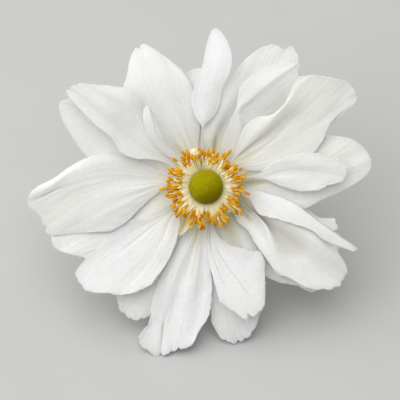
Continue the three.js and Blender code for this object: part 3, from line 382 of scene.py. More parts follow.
        [[-6, -8.3, 0], [-11.5, -18.8, 0.1], [-15, -25.8, 0.3], [-17.6, -33.3, 0.2]],
        [[-7, -8.3, 0], [-14, -17.8, -0.1], [-18.3, -24.5, -0.2], [-21.4, -31, -0.1]],
        [[-8, -7.8, 0], [-15.8, -16.3, 0], [-20.5, -22.8, 0], [-22.4, -26.8, 0.2]],
    ]],
    "tepal_7_front": [224, 2, 2.4, [
        [[-6.3, -5.5, 0.2], [-6.5, -9.5, 0.3], [-7.8, -15, 0.4], [-10.3, -19.8, 0.5],
         [-13.5, -24.3, 0.6]],
        [[-7.3, -6, 0], [-10, -13.3, 0.2], [-14, -20.3, 0.3], [-19, -26.8, 0.7]],
        [[-8, -6.3, 0], [-13, -13.3, 0.1], [-19, -20, 0.1], [-25.5, -26.5, 0.5]],
        [[-8.5, -6.3, 0], [-15.8, -12, -0.2], [-23.3, -18.3, -0.4], [-30.4, -25.6, -0.2]],
        [[-8.8, -6, 0], [-17.3, -10.8, -0.4], [-25.5, -16.3, -0.7], [-32.6, -21.9, -0.7]],
        [[-8.5, -5.6, 0.2], [-12.8, -7.5, 0.1], [-18.3, -8.1, -0.1], [-23.3, -10.8, -0.3],
         [-26.5, -14.8, -0.5], [-30, -17.6, -0.5]],
    ]],
    "tepal_8_back": [198, 1, 2, [
        [[-9.5, -6, 0.2], [-16, -11.8, 0.2], [-23.5, -16.3, 0.2], [-29.5, -17.8, 0.5]],
        [[-11, -4.8, 0.3], [-18.5, -8.8, 0.3], [-26.5, -12.8, 0.6], [-33.8, -16.8, 0.9]],
        [[-12.8, -2.8, 0.3], [-20.3, -5, 0.3], [-29, -9, 0.6], [-37.9, -15.1, 0.8]],
        [[-12.5, -1.5, 0.2], [-22, -2.5, 0.2], [-31.5, -6.8, 0.3], [-38.8, -12.3, 0.5]],
    ]],
    "tepal_9_front": [180, 2.3, 2.4, [
        [[-10, -0.5, 0], [-13.3, -2.5, 0], [-16.5, -5.5, 0], [-19.8, -8.8, 0], [-23.5, -11, -0.1]],
        [[-11, 0.3, 0], [-15.3, -1.5, 0], [-21, -4.5, 0], [-26.5, -7.8, -0.3], [-32, -11.5, -0.9]],
        [[-11.5, 0.8, 0], [-16.5, -0.3, 0.1], [-23.5, -2.3, -0.1], [-31.5, -7, -0.5], [-39.6, -11.7, -1]],
        [[-11.5, 1.3, 0], [-17, 1.3, -0.1], [-24.5, 0.5, -0.1], [-32.8, -2.5, 0], [-41, -8, -0.1]],
        [[-11.5, 2, 0], [-17, 2.8, 0.1], [-25.3, 2.8, 0.2], [-34, 0.3, 0.7], [-44.3, -4.3, 1.1]],
        [[-11.5, 2.8, 0], [-16.5, 4.5, 0], [-25, 6, 0.4], [-33.8, 3.6, 1.2], [-38.8, 0.3, 1.6],
         [-43.5, -1.3, 1.5]],
        [[-11.5, 4, 0.1], [-16.5, 6.5, 0.1], [-23.3, 8, 0.2], [-29.5, 7.3, 0.3], [-34.1, 5, 0.6],
         [-38, 2.2, 0.9], [-42, 0.3, 1]],
    ]],
    "tepal_10_front": [156, 4, 2.4, [
        [[-7.5, 4.3, 0], [-10.3, 6.1, 0.1], [-14, 6.9, 0.2], [-18, 7.1, 0.3], [-21.5, 9, 0.2],
         [-23.5, 12.3, 0], [-27.5, 15.3, -0.1], [-31.3, 19.3, 0.3], [-34.1, 22.4, 0.7]],
        [[-10.3, 6.8, -0.1], [-14, 8.5, -0.3], [-19.5, 11.3, -0.7], [-25.3, 16.5, -0.6], [-30.5, 21, 0.3],
         [-34.7, 23.9, 1]],
        [[-10.3, 7.8, -0.1], [-14, 10, -0.3], [-18.5, 14.3, -0.5], [-23.5, 18.8, 0.3], [-28.5, 22.8, 0.9],
         [-32.3, 25.5, 1.3]],
        [[-9.8, 8, 0], [-13, 11.5, 0.1], [-17, 17.3, 0.2], [-21, 21.8, 0.7], [-25.5, 25.3, 1]],
        [[-8.8, 6.5, 0.1], [-11.5, 9.5, 0], [-14.3, 13.3, -0.1], [-15.6, 17.3, -0.2], [-16, 20.8, -0.2],
         [-16.8, 22.9, -0.2], [-20, 24.7, 0]],
    ]],
    "tepal_10_back": [162, 1.2, 2, [
        [[-9.5, 2.3, 0], [-19, 3.5, 0], [-27.3, 5.8, -0.1], [-31, 8.9, 0.3], [-33.1, 12, 1]],
        [[-11.5, 4.8, 0], [-21.5, 9.8, -0.2], [-29.5, 13.3, 0.4], [-35.9, 17, 2]],
        [[-12, 6.3, 0], [-22.8, 13.8, -0.2], [-30, 18.8, 0.9], [-36.4, 20.9, 2.4]],
        [[-11.5, 7.8, 0], [-21, 16.3, 0], [-27.3, 20, 0.8], [-32.8, 22.4, 2]],
    ]],
    "tepal_11_tongue": [130, 4.7, 1.6, [
        [[-7.5, 6.3, 0], [-10.8, 8.5, 0.1], [-13.8, 12, 0.2], [-15.6, 16.3, -0.1], [-15.4, 19.5, -0.5]],
        [[-7, 6.8, 0.1], [-10, 9.3, 0.3], [-12.5, 12.8, 0.6], [-13.6, 16.5, 0.5], [-14.4, 20.1, -0.1]],
        [[-6.5, 7.1, 0], [-9.1, 9.5, 0.2], [-11.4, 12.5, 0.5], [-12.7, 16, 0.3], [-13.9, 19.6, -0.1]],
        [[-6, 7.4, 0.2], [-8.4, 9.2, 0.4], [-10.3, 11.3, 0.6], [-11.9, 14.8, 0.5], [-13.3, 18, 0.1],
         [-13.8, 19.1, 0]],
    ]],
    "tepal_11_front": [117, 2, 2.4, [
        [[-7, 8.3, -0.1], [-14, 14.3, 0], [-19, 20.3, 0.2], [-20.5, 25, 0.2], [-19.7, 27.5, 0],
         [-19.2, 30.8, -0.4], [-18.6, 33.1, -0.8]],
        [[-5.8, 9.3, -0.2], [-11.5, 18.3, 0.1], [-15, 25.8, 0.1], [-16.8, 30.8, -0.4],
         [-17.5, 34.6, -0.9]],
        [[-4, 10.3, 0.1], [-7.8, 19.3, 0.3], [-11, 26.8, 0.2], [-13.5, 32.3, -0.3], [-15.4, 35.6, -0.9]],
        [[-3.3, 10.3, -0.2], [-5.3, 18.8, 0], [-6.8, 25.3, 0], [-8.5, 29.5, -0.4], [-10, 32.4, -0.8]],
        [[-2, 9.8, -0.1], [-1.5, 14.8, 0.1], [-2.3, 20.5, 0.1], [-3.8, 25.5, 0], [-6, 29, -0.4]],
    ]],
    "tepal_11_back": [104, 1, 2.4, [
        [[-3.5, 11.8, 0], [-5, 20.5, 0], [-5.8, 25.3, 0], [-5, 28.3, 0]],
        [[-2, 11.8, 0], [-2.3, 20.5, 0], [-2.3, 29.6, 0]],
        [[-1.3, 11.3, 0], [0.3, 20.5, 0], [1, 26.3, 0], [0, 29.3, 0]],
    ]],
    "petaloid_curled": [243, 3, 0.8, [
        [[-3.8, -6.8, 0.4], [-3.8, -8.8, 0.5], [-4.5, -10.5, 0.7], [-5.8, -11.8, 0.5]],
        [[-4.5, -7, -0.1], [-5.3, -9.3, -0.5], [-6, -11, -0.3], [-6.5, -12, 0.2]],
        [[-5.3, -6.8, 0.4], [-6.3, -8.8, 0.6], [-7, -10.5, 0.6], [-7.1, -11.5, 0.3]],
    ]],
}


# ---------------- the flower's frame
FACE_RIGHT = np.array([1.0, 0.0, 0.0])
FACE_UP = np.array([0.0, math.sin(FACE_ELEVATION), math.cos(FACE_ELEVATION)])
FACE_FORWARD = np.array([0.0, -math.cos(FACE_ELEVATION), math.sin(FACE_ELEVATION)])
FACE_AXES = np.stack([FACE_RIGHT, FACE_UP, FACE_FORWARD])


def flower_centre():
    """Where the claws' plane meets the flower's axis, from the globe of carpels."""
    low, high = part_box("carpel_head")
    radius = HEAD_RADIUS * MM
    globe = np.array([(low[0] + high[0]) / 2, low[1] + radius, high[2] - radius])
    return globe - HEAD_CENTRE * MM * FACE_FORWARD


CENTRE = flower_centre()


def place(points):
    """Millimetres in the flower's face to metres in the part's frame."""
    return CENTRE + np.asarray(points, float) * MM @ FACE_AXES


def polar(angle, radius, height):
    """A point of the flower at an angle in degrees, a radius and a height."""
    turn = math.radians(angle)
    return np.array([radius * math.cos(turn), radius * math.sin(turn), height])


# ---------------- curves and noise


def unit(vectors):
    """The same directions with length 1."""
    return vectors / np.maximum(np.linalg.norm(vectors, axis=-1, keepdims=True), 1e-9)


def smoothstep(x, start, end):
    t = np.clip((x - start) / (end - start), 0.0, 1.0)
    return t * t * (3.0 - 2.0 * t)


def bell(x):
    return np.exp(-(x**2))


def lengths(grid, axis=0):
    """Length of a line of points, or of each of a grid's lines along an axis."""
    return np.linalg.norm(np.diff(grid, axis=axis), axis=-1).sum(axis=axis)


def distances(line):
    """Distance of each point of a line from its start."""
    return np.concatenate([[0.0], np.cumsum(np.linalg.norm(np.diff(line, axis=0), axis=-1))])


def curve_points(points, t):
    """Centripetal Catmull-Rom curve through points, read at each t from 0 to 1."""
    last = len(points) - 1
    position = last * np.clip(t, 0.0, 1.0)
    start = np.minimum(np.floor(position).astype(int), last - 1)
    weight = (position - start)[:, None]
    padded = np.vstack([2 * points[0] - points[1], points, 2 * points[-1] - points[-2]])
    p0, p1, p2, p3 = (padded[start + k] for k in range(4))
    d0, d1, d2 = (
        np.sum((b - a) ** 2, axis=-1)[:, None] ** 0.25 for a, b in ((p0, p1), (p1, p2), (p2, p3))
    )
    d1 = np.where(d1 < 1e-4, 1.0, d1)
    d0 = np.where(d0 < 1e-4, d1, d0)
    d2 = np.where(d2 < 1e-4, d1, d2)
    m1 = ((p1 - p0) / d0 - (p2 - p0) / (d0 + d1) + (p2 - p1) / d1) * d1
    m2 = ((p2 - p1) / d1 - (p3 - p1) / (d1 + d2) + (p3 - p2) / d2) * d1
    quadratic = -3 * p1 + 3 * p2 - 2 * m1 - m2
    cubic = 2 * p1 - 2 * p2 + m1 + m2
    return p1 + m1 * weight + quadratic * weight**2 + cubic * weight**3


def even_points(points, steps):
    """Points at equal distances along the curve through points."""
    samples = np.linspace(0.0, 1.0, 201)
    run = distances(curve_points(points, samples))
    wanted = np.linspace(0.0, run[-1], steps + 1)
    return curve_points(points, np.interp(wanted, run, samples))


def cell_at(x, cells):
    """The cell that x from 0 to 1 falls in, and its place in that cell."""
    scaled = np.clip(x, 0.0, 1.0) * cells
    cell = np.minimum(np.floor(scaled).astype(int), cells)
    return cell, scaled - cell


def smooth_noise(rng, cells, x):
    """A smooth random curve between -1 and 1 with about that many swings, read at x."""
    values = rng.uniform(-1.0, 1.0, cells + 3)
    cell, t = cell_at(x, cells)
    a, b, c, d = (values[np.minimum(cell + k, cells + 2)] for k in range(4))
    square = 2 * a - 5 * b + 4 * c - d
    cube = 3 * b - a - 3 * c + d
    return 0.5 * (2 * b + (c - a) * t + square * t**2 + cube * t**3)


def grid_noise(rng, cells_along, cells_across, along, across):
    """Smooth random hills between about -1 and 1 over a grid of along by across."""
    values = rng.uniform(-1.0, 1.0, (cells_along + 2, cells_across + 2))
    i, s = cell_at(along, cells_along)
    j, t = cell_at(across, cells_across)
    s = smoothstep(s, 0.0, 1.0)
    t = smoothstep(t, 0.0, 1.0)
    top = values[i, j] * (1 - t) + values[i, j + 1] * t
    bottom = values[i + 1, j] * (1 - t) + values[i + 1, j + 1] * t
    return top * (1 - s) + bottom * s


# ---------------- mesh helpers


class Body:
    """Collects points, faces and the numbers that go with them for one piece."""

    def __init__(self):
        self.points = []
        self.faces = []
        self.face_materials = []
        self.values = {}
        self.count = 0

    def add(self, points, faces, material=0, **values):
        """Adds a closed shape; values are numbers for each point that the materials read."""
        self.points.append(points)
        self.faces.extend([[self.count + k for k in face] for face in faces])
        self.face_materials.extend(np.broadcast_to(material, len(faces)))
        for key, numbers in values.items():
            self.values.setdefault(key, []).append(np.broadcast_to(numbers, len(points)))
        self.count += len(points)

    def piece(self, name, materials, slot, replaced):
        """A smooth mesh that rides on the part's one body."""
        mesh = bpy.data.meshes.new(name)
        mesh.from_pydata(place(np.vstack(self.points)).tolist(), [], self.faces)
        mesh.update()
        for material in materials:
            mesh.materials.append(material)
        mesh.polygons.foreach_set("material_index", np.array(self.face_materials, dtype=np.int32))
        mesh.polygons.foreach_set("use_smooth", np.ones(len(mesh.polygons), dtype=bool))
        for key, columns in self.values.items():
            layer = mesh.attributes.new(name=key, type="FLOAT", domain="POINT")
            layer.data.foreach_set("value", np.concatenate(columns).astype(np.float32))
        piece = bpy.data.objects.new(name, mesh)
        bpy.context.scene.collection.objects.link(piece)
        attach(piece, BODY)
        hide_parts(*replaced)


def rings_to_faces(rings, sides):
    """Faces of a closed body made of rings of points, with one more point at each end."""
    faces = []
    first = rings * sides
    last = first - sides
    for i in range(sides):
        k = (i + 1) % sides
        for a in range(0, last, sides):
            faces.append([a + i, a + k, a + sides + k, a + sides + i])
        faces.append([first, k, i])
        faces.append([first + 1, last + i, last + k])
    return faces


def circle_of(sides):
    return np.linspace(0.0, 2 * math.pi, sides, endpoint=False)


def tube(line, radii, sides):
    """Points and faces of a closed round tube along a line, with a radius for each point."""
    ahead = unit(np.gradient(line, axis=0))
    side = np.cross(ahead[0], [0.3, 0.2, 1.0])
    first = []
    for direction in ahead:
        side = unit(side - direction * np.dot(side, direction))
        first.append(side)
    first = np.array(first)
    second = np.cross(ahead, first)
    turns = circle_of(sides)[:, None]
    circle = np.cos(turns) * first[:, None] + np.sin(turns) * second[:, None]
    rings = line[:, None] + circle * radii[..., None]
    points = np.vstack([rings.reshape(-1, 3), line[:1], line[-1:]])
    return points, rings_to_faces(len(line), sides)


# ---------------- materials
# a lit and a shaded copy of the tepals' white: painted light and shade
TEPAL_SHADED = (0.885, 0.880, 0.838)
TEPAL_LIT = (0.93, 0.928, 0.932)
TEPAL_DULL = (0.81, 0.812, 0.775)
TEPAL_CREAM = (0.83, 0.80, 0.60)
# painted shade for creases and hollows: grey further out, olive near the claw
TEPAL_CREASE_SHADE = (0.58, 0.56, 0.48)
TEPAL_HOLLOW_SHADE = (0.46, 0.42, 0.20)


class Look:
    """A material, with short ways to add its nodes and to wire its shader."""

    def __init__(self, name):
        self.material = bpy.data.materials.new(name)
        self.material.use_nodes = True
        self.tree = self.material.node_tree
        self.position = self.node("TexCoord", "Object", {})

    def put(self, socket, value):
        """Gives a socket an output, a number of the mesh by its name, a number or a colour."""
        if isinstance(value, str):
            value = self.node("Attribute", "Fac", {}, attribute_name=value)
        if isinstance(value, bpy.types.NodeSocket):
            self.tree.links.new(value, socket)
        elif socket.type == "RGBA":
            socket.default_value = (*value, 1.0)
        else:
            socket.default_value = value

    def node(self, kind, output, inputs, **settings):
        """Adds a node with its settings and inputs, and gives one of its outputs."""
        node = self.tree.nodes.new(f"ShaderNode{kind}")
        for key, setting in settings.items():
            setattr(node, key, setting)
        for key, value in inputs.items():
            self.put(node.inputs[key], value)
        return node.outputs[output]

    def math(self, operation, *values):
        return self.node("Math", "Value", dict(enumerate(values)), operation=operation)

    def times(self, value, factor):
        return self.math("MULTIPLY", value, factor)

    def remap(self, value, start, end, to_start=0.0, to_end=1.0):
        """Smooth change from to_start to to_end as value goes from start to end."""
        inputs = {
            "Value": value, "From Min": start, "From Max": end, "To Min": to_start, "To Max": to_end,
        }
        return self.node("MapRange", "Result", inputs, interpolation_type="SMOOTHSTEP")

    def mix(self, factor, first, second):
        """Mix of two colours."""
        return self.node("Mix", 2, {0: factor, 6: first, 7: second}, data_type="RGBA")

    def noise(self, scale, detail, vector=None):
        inputs = {"Scale": scale, "Detail": detail, "Vector": vector or self.position}
        return self.node("TexNoise", "Fac", inputs)

    def bump(self, height, strength, distance, base=None):
        inputs = {"Strength": strength, "Distance": distance, "Height": height}
        if base:
            inputs["Normal"] = base
        return self.node("Bump", "Normal", inputs)

    def finish(self, colour, grain, roughness, more=None):
        """Wires the shader; the grain spreads the roughness over its range."""
        values = {"Base Color": colour, "Roughness": self.remap(grain, 0.3, 0.7, *roughness)}
        values.update(more or {})
        for key, value in values.items():
            self.put(self.tree.nodes["Principled BSDF"].inputs[key], value)
        return self.material


def soft(weight, radius, scale):
    """Light that sinks in: how much of it, and how far for each colour."""
    return {"Subsurface Weight": weight, "Subsurface Radius": radius, "Subsurface Scale": scale}


def tepal_material():
    """Silky white with faint lengthwise veins and a cream claw, with painted shade in its creases and
    hollows and on the tepals that lie in shade.
    """
    look = Look("white_tepal")
    seed = look.times("own", 40.0)

    def streaks(lines, breaks):
        place_on = {0: look.times("across", lines), 1: look.times("along", breaks), 2: seed}
        return look.noise(1.0, 2.0, look.node("CombineXYZ", "Vector", place_on))

    broad_veins = streaks(26.0, 3.0)
    fine_veins = streaks(80.0, 9.0)
    mottle = look.noise(900.0, 2.0)
    patchy = look.remap(look.noise(160.0, 3.0), 0.35, 0.65, -0.25, 0.25)
    # painted shade: the tepal's shaded share, with random patches of tone on top
    warmth = look.math("ADD", "warmth", patchy)
    colour = look.mix(look.remap(warmth, 0.0, 1.0), TEPAL_LIT, TEPAL_SHADED)
    for pattern, start, strength in ((mottle, 0.4, 0.35), (broad_veins, 0.5, 0.3), (fine_veins, 0.5, 0.3)):
        colour = look.mix(look.remap(pattern, start, 0.75, 0.0, strength), colour, TEPAL_DULL)
    colour = look.mix(look.remap("reach", 4.5, 17.0, 0.75, 0.0), colour, TEPAL_CREAM)
    # painted shade in the creases and hollows, olive near the claw and grey further out
    shade = look.mix(look.remap("reach", 9.0, 19.0), TEPAL_HOLLOW_SHADE, TEPAL_CREASE_SHADE)
    colour = look.mix(look.remap("crease", 0.0, 0.35, 0.0, 0.5), colour, shade)
    relief = look.bump(broad_veins, 0.35, 0.0003)
    relief = look.bump(fine_veins, 0.35, 0.00015, relief)
    relief = look.bump(mottle, 0.2, 0.0001, relief)
    return look.finish(colour, look.noise(3200.0, 1.0), (0.5, 0.64), {
        "Normal": relief, "Specular IOR Level": 0.25, "Sheen Weight": 0.06, "Sheen Roughness": 0.4,
        **soft(0.7, (1.0, 0.97, 0.88), 0.0005),
    })


def petaloid_material():
    """Cream with a peach blush, and olive painted shade in the hollow down the curled one's middle."""
    look = Look("cream_petaloid")
    patches = look.remap(look.noise(500.0, 3.0), 0.35, 0.7)
    fine = look.noise(2600.0, 2.0)
    cream = look.mix(patches, (0.85, 0.775, 0.585), (0.83, 0.69, 0.46))
    from_middle = look.math("ABSOLUTE", look.math("SUBTRACT", "across", 0.5))
    # painted shade: olive in the hollow along the middle of the curled petaloid
    colour = look.mix(look.remap(from_middle, 0.08, 0.32, 0.6, 0.0), cream, (0.66, 0.61, 0.40))
    return look.finish(colour, fine, (0.42, 0.6), {
        "Normal": look.bump(fine, 0.3, 0.0001), **soft(0.3, (1.0, 0.8, 0.4), 0.0008),
    })


def filament_material():
    """Pale cream threads, yellower at the foot."""
    look = Look("cream_filament")
    lit = look.mix(look.remap("along", 0.1, 0.9), (0.98, 0.85, 0.44), (0.99, 0.90, 0.58))
    colour = look.mix(look.times("own", 0.5), lit, (0.99, 0.92, 0.68))
    return look.finish(
        colour, look.noise(4000.0, 1.0), (0.38, 0.52), soft(0.02, (1.0, 0.85, 0.5), 0.0003),
    )


def anther_material():
    """Powdery amber, with painted shade darkening the groove, and paler where pollen sits."""
    look = Look("amber_anther")
    pollen = look.noise(3500.0, 2.0)
    orange = look.mix(look.remap("own", 0.0, 0.3), (0.56, 0.18, 0.002), (0.84, 0.39, 0.005))
    amber = look.mix(look.remap("own", 0.2, 1.0), orange, (0.87, 0.57, 0.02))
    dusted = look.mix(look.remap(pollen, 0.45, 0.75, 0.0, 0.6), amber, (0.97, 0.65, 0.03))
    # painted shade: the groove between the lobes is darkened
    colour = look.mix(look.times("groove", 0.8), dusted, (0.52, 0.16, 0.001))
    return look.finish(colour, pollen, (0.45, 0.75), {
        "Normal": look.bump(pollen, 0.5, 0.00008), "Specular IOR Level": 0.1,
    })


def carpel_material():
    """Olive between the carpels, chartreuse on their tips, and painted shade on the side away from the
    light.
    """
    look = Look("olive_carpels")
    patches = look.noise(700.0, 2.0)
    bright = look.mix(look.remap("tint", 0.75, 1.0), (0.51, 0.45, 0.001), (0.66, 0.60, 0.03))
    green = look.mix(look.remap("tip", 0.0, 0.9), (0.28, 0.24, 0.001), bright)
    varied = look.mix(look.remap(patches, 0.4, 0.7, 0.0, 0.4), green, (0.40, 0.38, 0.004))
    # painted shade: the side away from the light is darkened
    colour = look.mix(look.times("ripeness", 0.6), varied, (0.13, 0.11, 0.001))
    return look.finish(colour, patches, (0.5, 0.7), {"Specular IOR Level": 0.02})


def stem_material():
    """Green, brownish on its ribs, pale under the flower."""
    look = Look("green_stem")
    patches = look.remap(look.noise(260.0, 3.0), 0.35, 0.7)
    grain = look.noise(2500.0, 2.0)
    green = look.mix(patches, (0.19, 0.27, 0.06), (0.28, 0.34, 0.10))
    ribbed = look.mix(look.times("rib", 0.45), green, (0.30, 0.20, 0.10))
    colour = look.mix(look.remap("along", 0.0, 0.16, 0.8, 0.0), ribbed, (0.52, 0.58, 0.26))
    return look.finish(colour, grain, (0.45, 0.65), {"Normal": look.bump(grain, 0.4, 0.0001)})


def pith_material():
    """Cut face of the stem: pale and spongy."""
    look = Look("stem_pith")
    cells = look.noise(5000.0, 2.0)
    return look.finish(look.mix(cells, (0.45, 0.52, 0.24), (0.72, 0.74, 0.50)), cells, (0.5, 0.75))


def floor_material():
    """Pale matt board."""
    look = Look("pale_board")
    fibres = look.noise(40.0, 4.0)
    return look.finish(look.mix(fibres, (0.52, 0.53, 0.52), (0.56, 0.57, 0.56)), fibres, (0.7, 0.85))


# ---------------- tepals
ALONG, ACROSS = np.meshgrid(
    np.linspace(0.0, 1.0, ALONG_STEPS + 1), np.linspace(0.0, 1.0, ACROSS_STEPS + 1), indexing="ij",
)


def layer_height(layer, radius):
    """Height of a tepal's layer above the claws' plane, before its own lift."""
    s = radius / BOWL_RADIUS
    bowl = BOWL_BASE + BOWL_RISE * s * (2 - s)
    return bowl + layer * (LAYER_STEP + LAYER_SPREAD * np.minimum(radius, LAYER_SPREAD_END))


def vein_line(claw, layer, offset, vein):
    """The points of one vein, from its place clockwise across the claw outwards."""
    angle = math.radians(claw)
    clockwise = np.array([math.sin(angle), -math.cos(angle), 0.0])
    points = [polar(claw, CLAW_RADIUS, layer_height(layer, CLAW_RADIUS)) + clockwise * offset]
    for right, up, lift in vein:
        radius = math.hypot(right, up)
        raised = lift * smoothstep(radius, LIFT_START, LIFT_FULL)
        points.append([right, up, layer_height(layer, radius) + raised])
    return np.array(points)


def tepal_surface(claw, layer, claw_width, veins):
    """Middle surface of a tepal: a grid of points, along by across."""
    offsets = claw_width * CLAW_SPREAD * (np.arange(len(veins)) / (len(veins) - 1) - 0.5)
    lines = [
        even_points(vein_line(claw, layer, offset, vein), ALONG_STEPS)
        for offset, vein in zip(offsets, veins)
    ]
    return np.stack([curve_points(row, ACROSS[0]) for row in np.stack(lines, axis=1)])


def surface_normals(surface):
    return unit(np.cross(np.gradient(surface, axis=1), np.gradient(surface, axis=0)))


def read_surface(surface, along, across):
    """The surface between its grid points, at parameters from 0 to 1."""
    y = np.clip(along, 0.0, 1.0) * ALONG_STEPS
    x = np.clip(across, 0.0, 1.0) * ACROSS_STEPS
    j = np.minimum(y.astype(int), ALONG_STEPS - 1)
    i = np.minimum(x.astype(int), ACROSS_STEPS - 1)
    t = (y - j)[..., None]
    s = (x - i)[..., None]
    near = surface[j, i] * (1 - s) + surface[j, i + 1] * s
    far = surface[j + 1, i] * (1 - s) + surface[j + 1, i + 1] * s
    return near * (1 - t) + far * t


def waves(rng, spacing, length, x):
    """Smooth random waves along a margin of that length, read at x from 0 to 1."""
    return smooth_noise(rng, max(2, round(length / spacing)), x)


def clefts(rng, spacing, length, x):
    """Narrow clefts between rounded lobes: 1 in a cleft, near 0 on a lobe."""
    return (1.0 - np.minimum(np.abs(waves(rng, spacing, length, x)), 1.0)) ** 3


def ragged(surface, rng, teeth, notches):
    """Draws the margin in: notches and teeth at the tip, gentler teeth at the sides."""
    length = lengths(surface).mean()
    width = lengths(surface, axis=1).max()
    tip = distances(surface[-1])
    tip_cut = np.zeros(ACROSS_STEPS + 1)
    side_cuts = np.zeros((2, ALONG_STEPS + 1))
    for spacing in TOOTH_SPACINGS:
        size = teeth * spacing / TOOTH_SPACINGS[0]
        tip_cut += size * clefts(rng, spacing, tip[-1], ACROSS[0])
        for cut in side_cuts:
            cut += SIDE_TEETH * size * clefts(rng, spacing, length, ALONG[:, 0])
    for where, notch_width, depth in notches:
        offset = tip - np.interp(where, ACROSS[0], tip)
        tip_cut += depth * bell(2 * offset / notch_width)
    side_cuts *= smoothstep(ALONG[:, 0], *SIDE_TEETH_GROW) / width
    along = ALONG * (1.0 - tip_cut / length * smoothstep(ALONG, *TIP_TEETH_GROW))
    across = side_cuts[0][:, None] + (1.0 - side_cuts.sum(axis=0))[:, None] * ACROSS
    return read_surface(surface, along, across)


def folded(surface, rng, ruffle, scale):
    """Adds the lengthwise folds, slow waves and ruffled margin of a thin soft sheet."""
    length = lengths(surface).mean()
    widths = lengths(surface, axis=1)[:, None]
    drift = smooth_noise(rng, FOLD_DRIFT_SWINGS, ALONG) * FOLD_DRIFT
    hills = grid_noise(rng, *SWAY_SWINGS, ALONG, ACROSS)
    height = hills * SWAY * smoothstep(ALONG, *SWAY_GROWS)
    for spacing, depth in FOLDS:
        lines = smooth_noise(rng, max(3, round(widths.max() / spacing)), ACROSS + drift)
        hills = grid_noise(rng, *FOLD_STRENGTH_SWINGS, ALONG, ACROSS)
        strength = FOLD_STRENGTH + (1.0 - FOLD_STRENGTH) * hills
        height += lines * strength * depth * smoothstep(ALONG, *FOLDS_GROW)
    edges = [
        (ACROSS * widths, ALONG, length, SIDE_RUFFLE),
        ((1.0 - ACROSS) * widths, ALONG, length, SIDE_RUFFLE),
        ((1.0 - ALONG) * length, ACROSS, widths[-1, 0], 1.0),
    ]
    for distance, place_on_edge, edge_length, share in edges:
        ripple = share * waves(rng, RUFFLE_SPACING, edge_length, place_on_edge)
        near = bell(distance / RUFFLE_REACH) * smoothstep(ALONG, *RUFFLES_GROW)
        height += ruffle * ripple * near
    return surface + surface_normals(surface) * (height * scale)[..., None]


def creased(surface, creases):
    """Presses creases into a sheet, and says how deep they go at each grid point."""
    widths = lengths(surface, axis=1)[:, None]
    pressed = np.zeros_like(ALONG)
    for across_start, across_end, start, end, depth, width in creases:
        line = across_start + (across_end - across_start) * (ALONG - start) / (end - start)
        begun = smoothstep(ALONG, start, start + CREASE_FADE)
        ended = smoothstep(ALONG, end - CREASE_FADE, end)
        pressed += depth * bell(2 * (ACROSS - line) * widths / width) * begun * (1.0 - ended)
    return surface - surface_normals(surface) * pressed[..., None], pressed


def sheet_thickness(surface):
    """Thickness at each grid point, less towards the free margins."""
    to_side = np.minimum(ACROSS, 1.0 - ACROSS) * lengths(surface, axis=1)[:, None]
    to_tip = (1.0 - ALONG) * lengths(surface)
    inside = smoothstep(np.minimum(to_side, to_tip), 0.0, EDGE_FADE)
    return EDGE_THICKNESS + (SHEET_THICKNESS - EDGE_THICKNESS) * inside


def border(rows, columns):
    """Rows and columns of the grid points around a grid's border, in order."""
    line = [(0, i) for i in range(columns)]
    line += [(j, columns - 1) for j in range(1, rows)]
    line += [(rows - 1, i) for i in range(columns - 2, -1, -1)]
    line += [(j, 0) for j in range(rows - 2, 0, -1)]
    return np.array(line).T


def add_sheet(body, surface, pressed, own, warmth):
    """Closed thin body around a middle surface, with a rounded margin."""
    rows, columns = surface.shape[:2]
    count = rows * columns
    half = surface_normals(surface) * sheet_thickness(surface)[..., None] / 2
    index = np.arange(count).reshape(rows, columns)
    corners = [index[:-1, :-1], index[:-1, 1:], index[1:, 1:], index[1:, :-1]]
    quads = np.stack(corners, axis=-1).reshape(-1, 4)
    j, i = border(rows, columns)
    inner = surface[np.clip(j, 1, rows - 2), np.clip(i, 1, columns - 2)]
    rim = surface[j, i] + unit(surface[j, i] - inner) * EDGE_THICKNESS * RIM_BULGE
    front = index[j, i]
    middle = 2 * count + np.arange(len(front))
    next_front = np.roll(front, -1)
    next_middle = np.roll(middle, -1)
    bands = [
        np.stack([next_front, front, middle, next_middle], axis=1),
        np.stack([next_middle, middle, front + count, next_front + count], axis=1),
    ]
    points = np.vstack([(surface + half).reshape(-1, 3), (surface - half).reshape(-1, 3), rim])
    faces = np.vstack([quads, quads[:, ::-1] + count, *bands]).tolist()
    # how deep each point is pressed also says where painted shade goes
    along, across, crease = (
        np.concatenate([grid.ravel(), grid.ravel(), grid[j, i]]) for grid in (ALONG, ACROSS, pressed)
    )
    body.add(
        points, faces, along=along, across=across, crease=crease,
        reach=np.hypot(points[:, 0], points[:, 1]), own=own, warmth=warmth,
    )


def build_tepals(materials):
    for number, (name, tepal) in enumerate(TEPALS.items()):
        rng = np.random.default_rng(SEEDS["tepals"] + number)
        teeth, ruffle, notches = MARGINS.get(name, PLAIN_MARGIN)
        surface = ragged(tepal_surface(*tepal), rng, teeth, notches)
        surface = folded(surface, rng, ruffle, FOLD_SCALES.get(name, 1.0))
        surface, pressed = creased(surface, CREASES.get(name, []))
        body = Body()
        # the last number is the tepal's share of painted shade
        add_sheet(body, surface, pressed, rng.uniform(), TEPAL_SHADE_AMOUNT.get(name, PLAIN_SHADE_AMOUNT))
        kind = "petaloid" if name.startswith("petaloid") else "tepal"
        body.piece(f"{name}_sheet", [materials[kind]], kind, [name])


# ---------------- carpels


def fibonacci_directions(count):
    """Evenly spread unit directions over a globe."""
    k = np.arange(count) + 0.5
    height = 1 - 2 * k / count
    turn = k * math.pi * (3 - math.sqrt(5))
    ring = np.sqrt(1 - height**2)
    return np.stack([ring * np.cos(turn), ring * np.sin(turn), height], axis=1)


def globe_mesh():
    """Directions and faces of a finely divided globe."""
    bpy.ops.mesh.primitive_ico_sphere_add(subdivisions=GLOBE_SUBDIVISIONS, radius=1.0)
    ball = bpy.context.active_object
    directions = unit(np.array([v.co for v in ball.data.vertices]))
    faces = [list(p.vertices) for p in ball.data.polygons]
    bpy.data.objects.remove(ball)
    return directions, faces


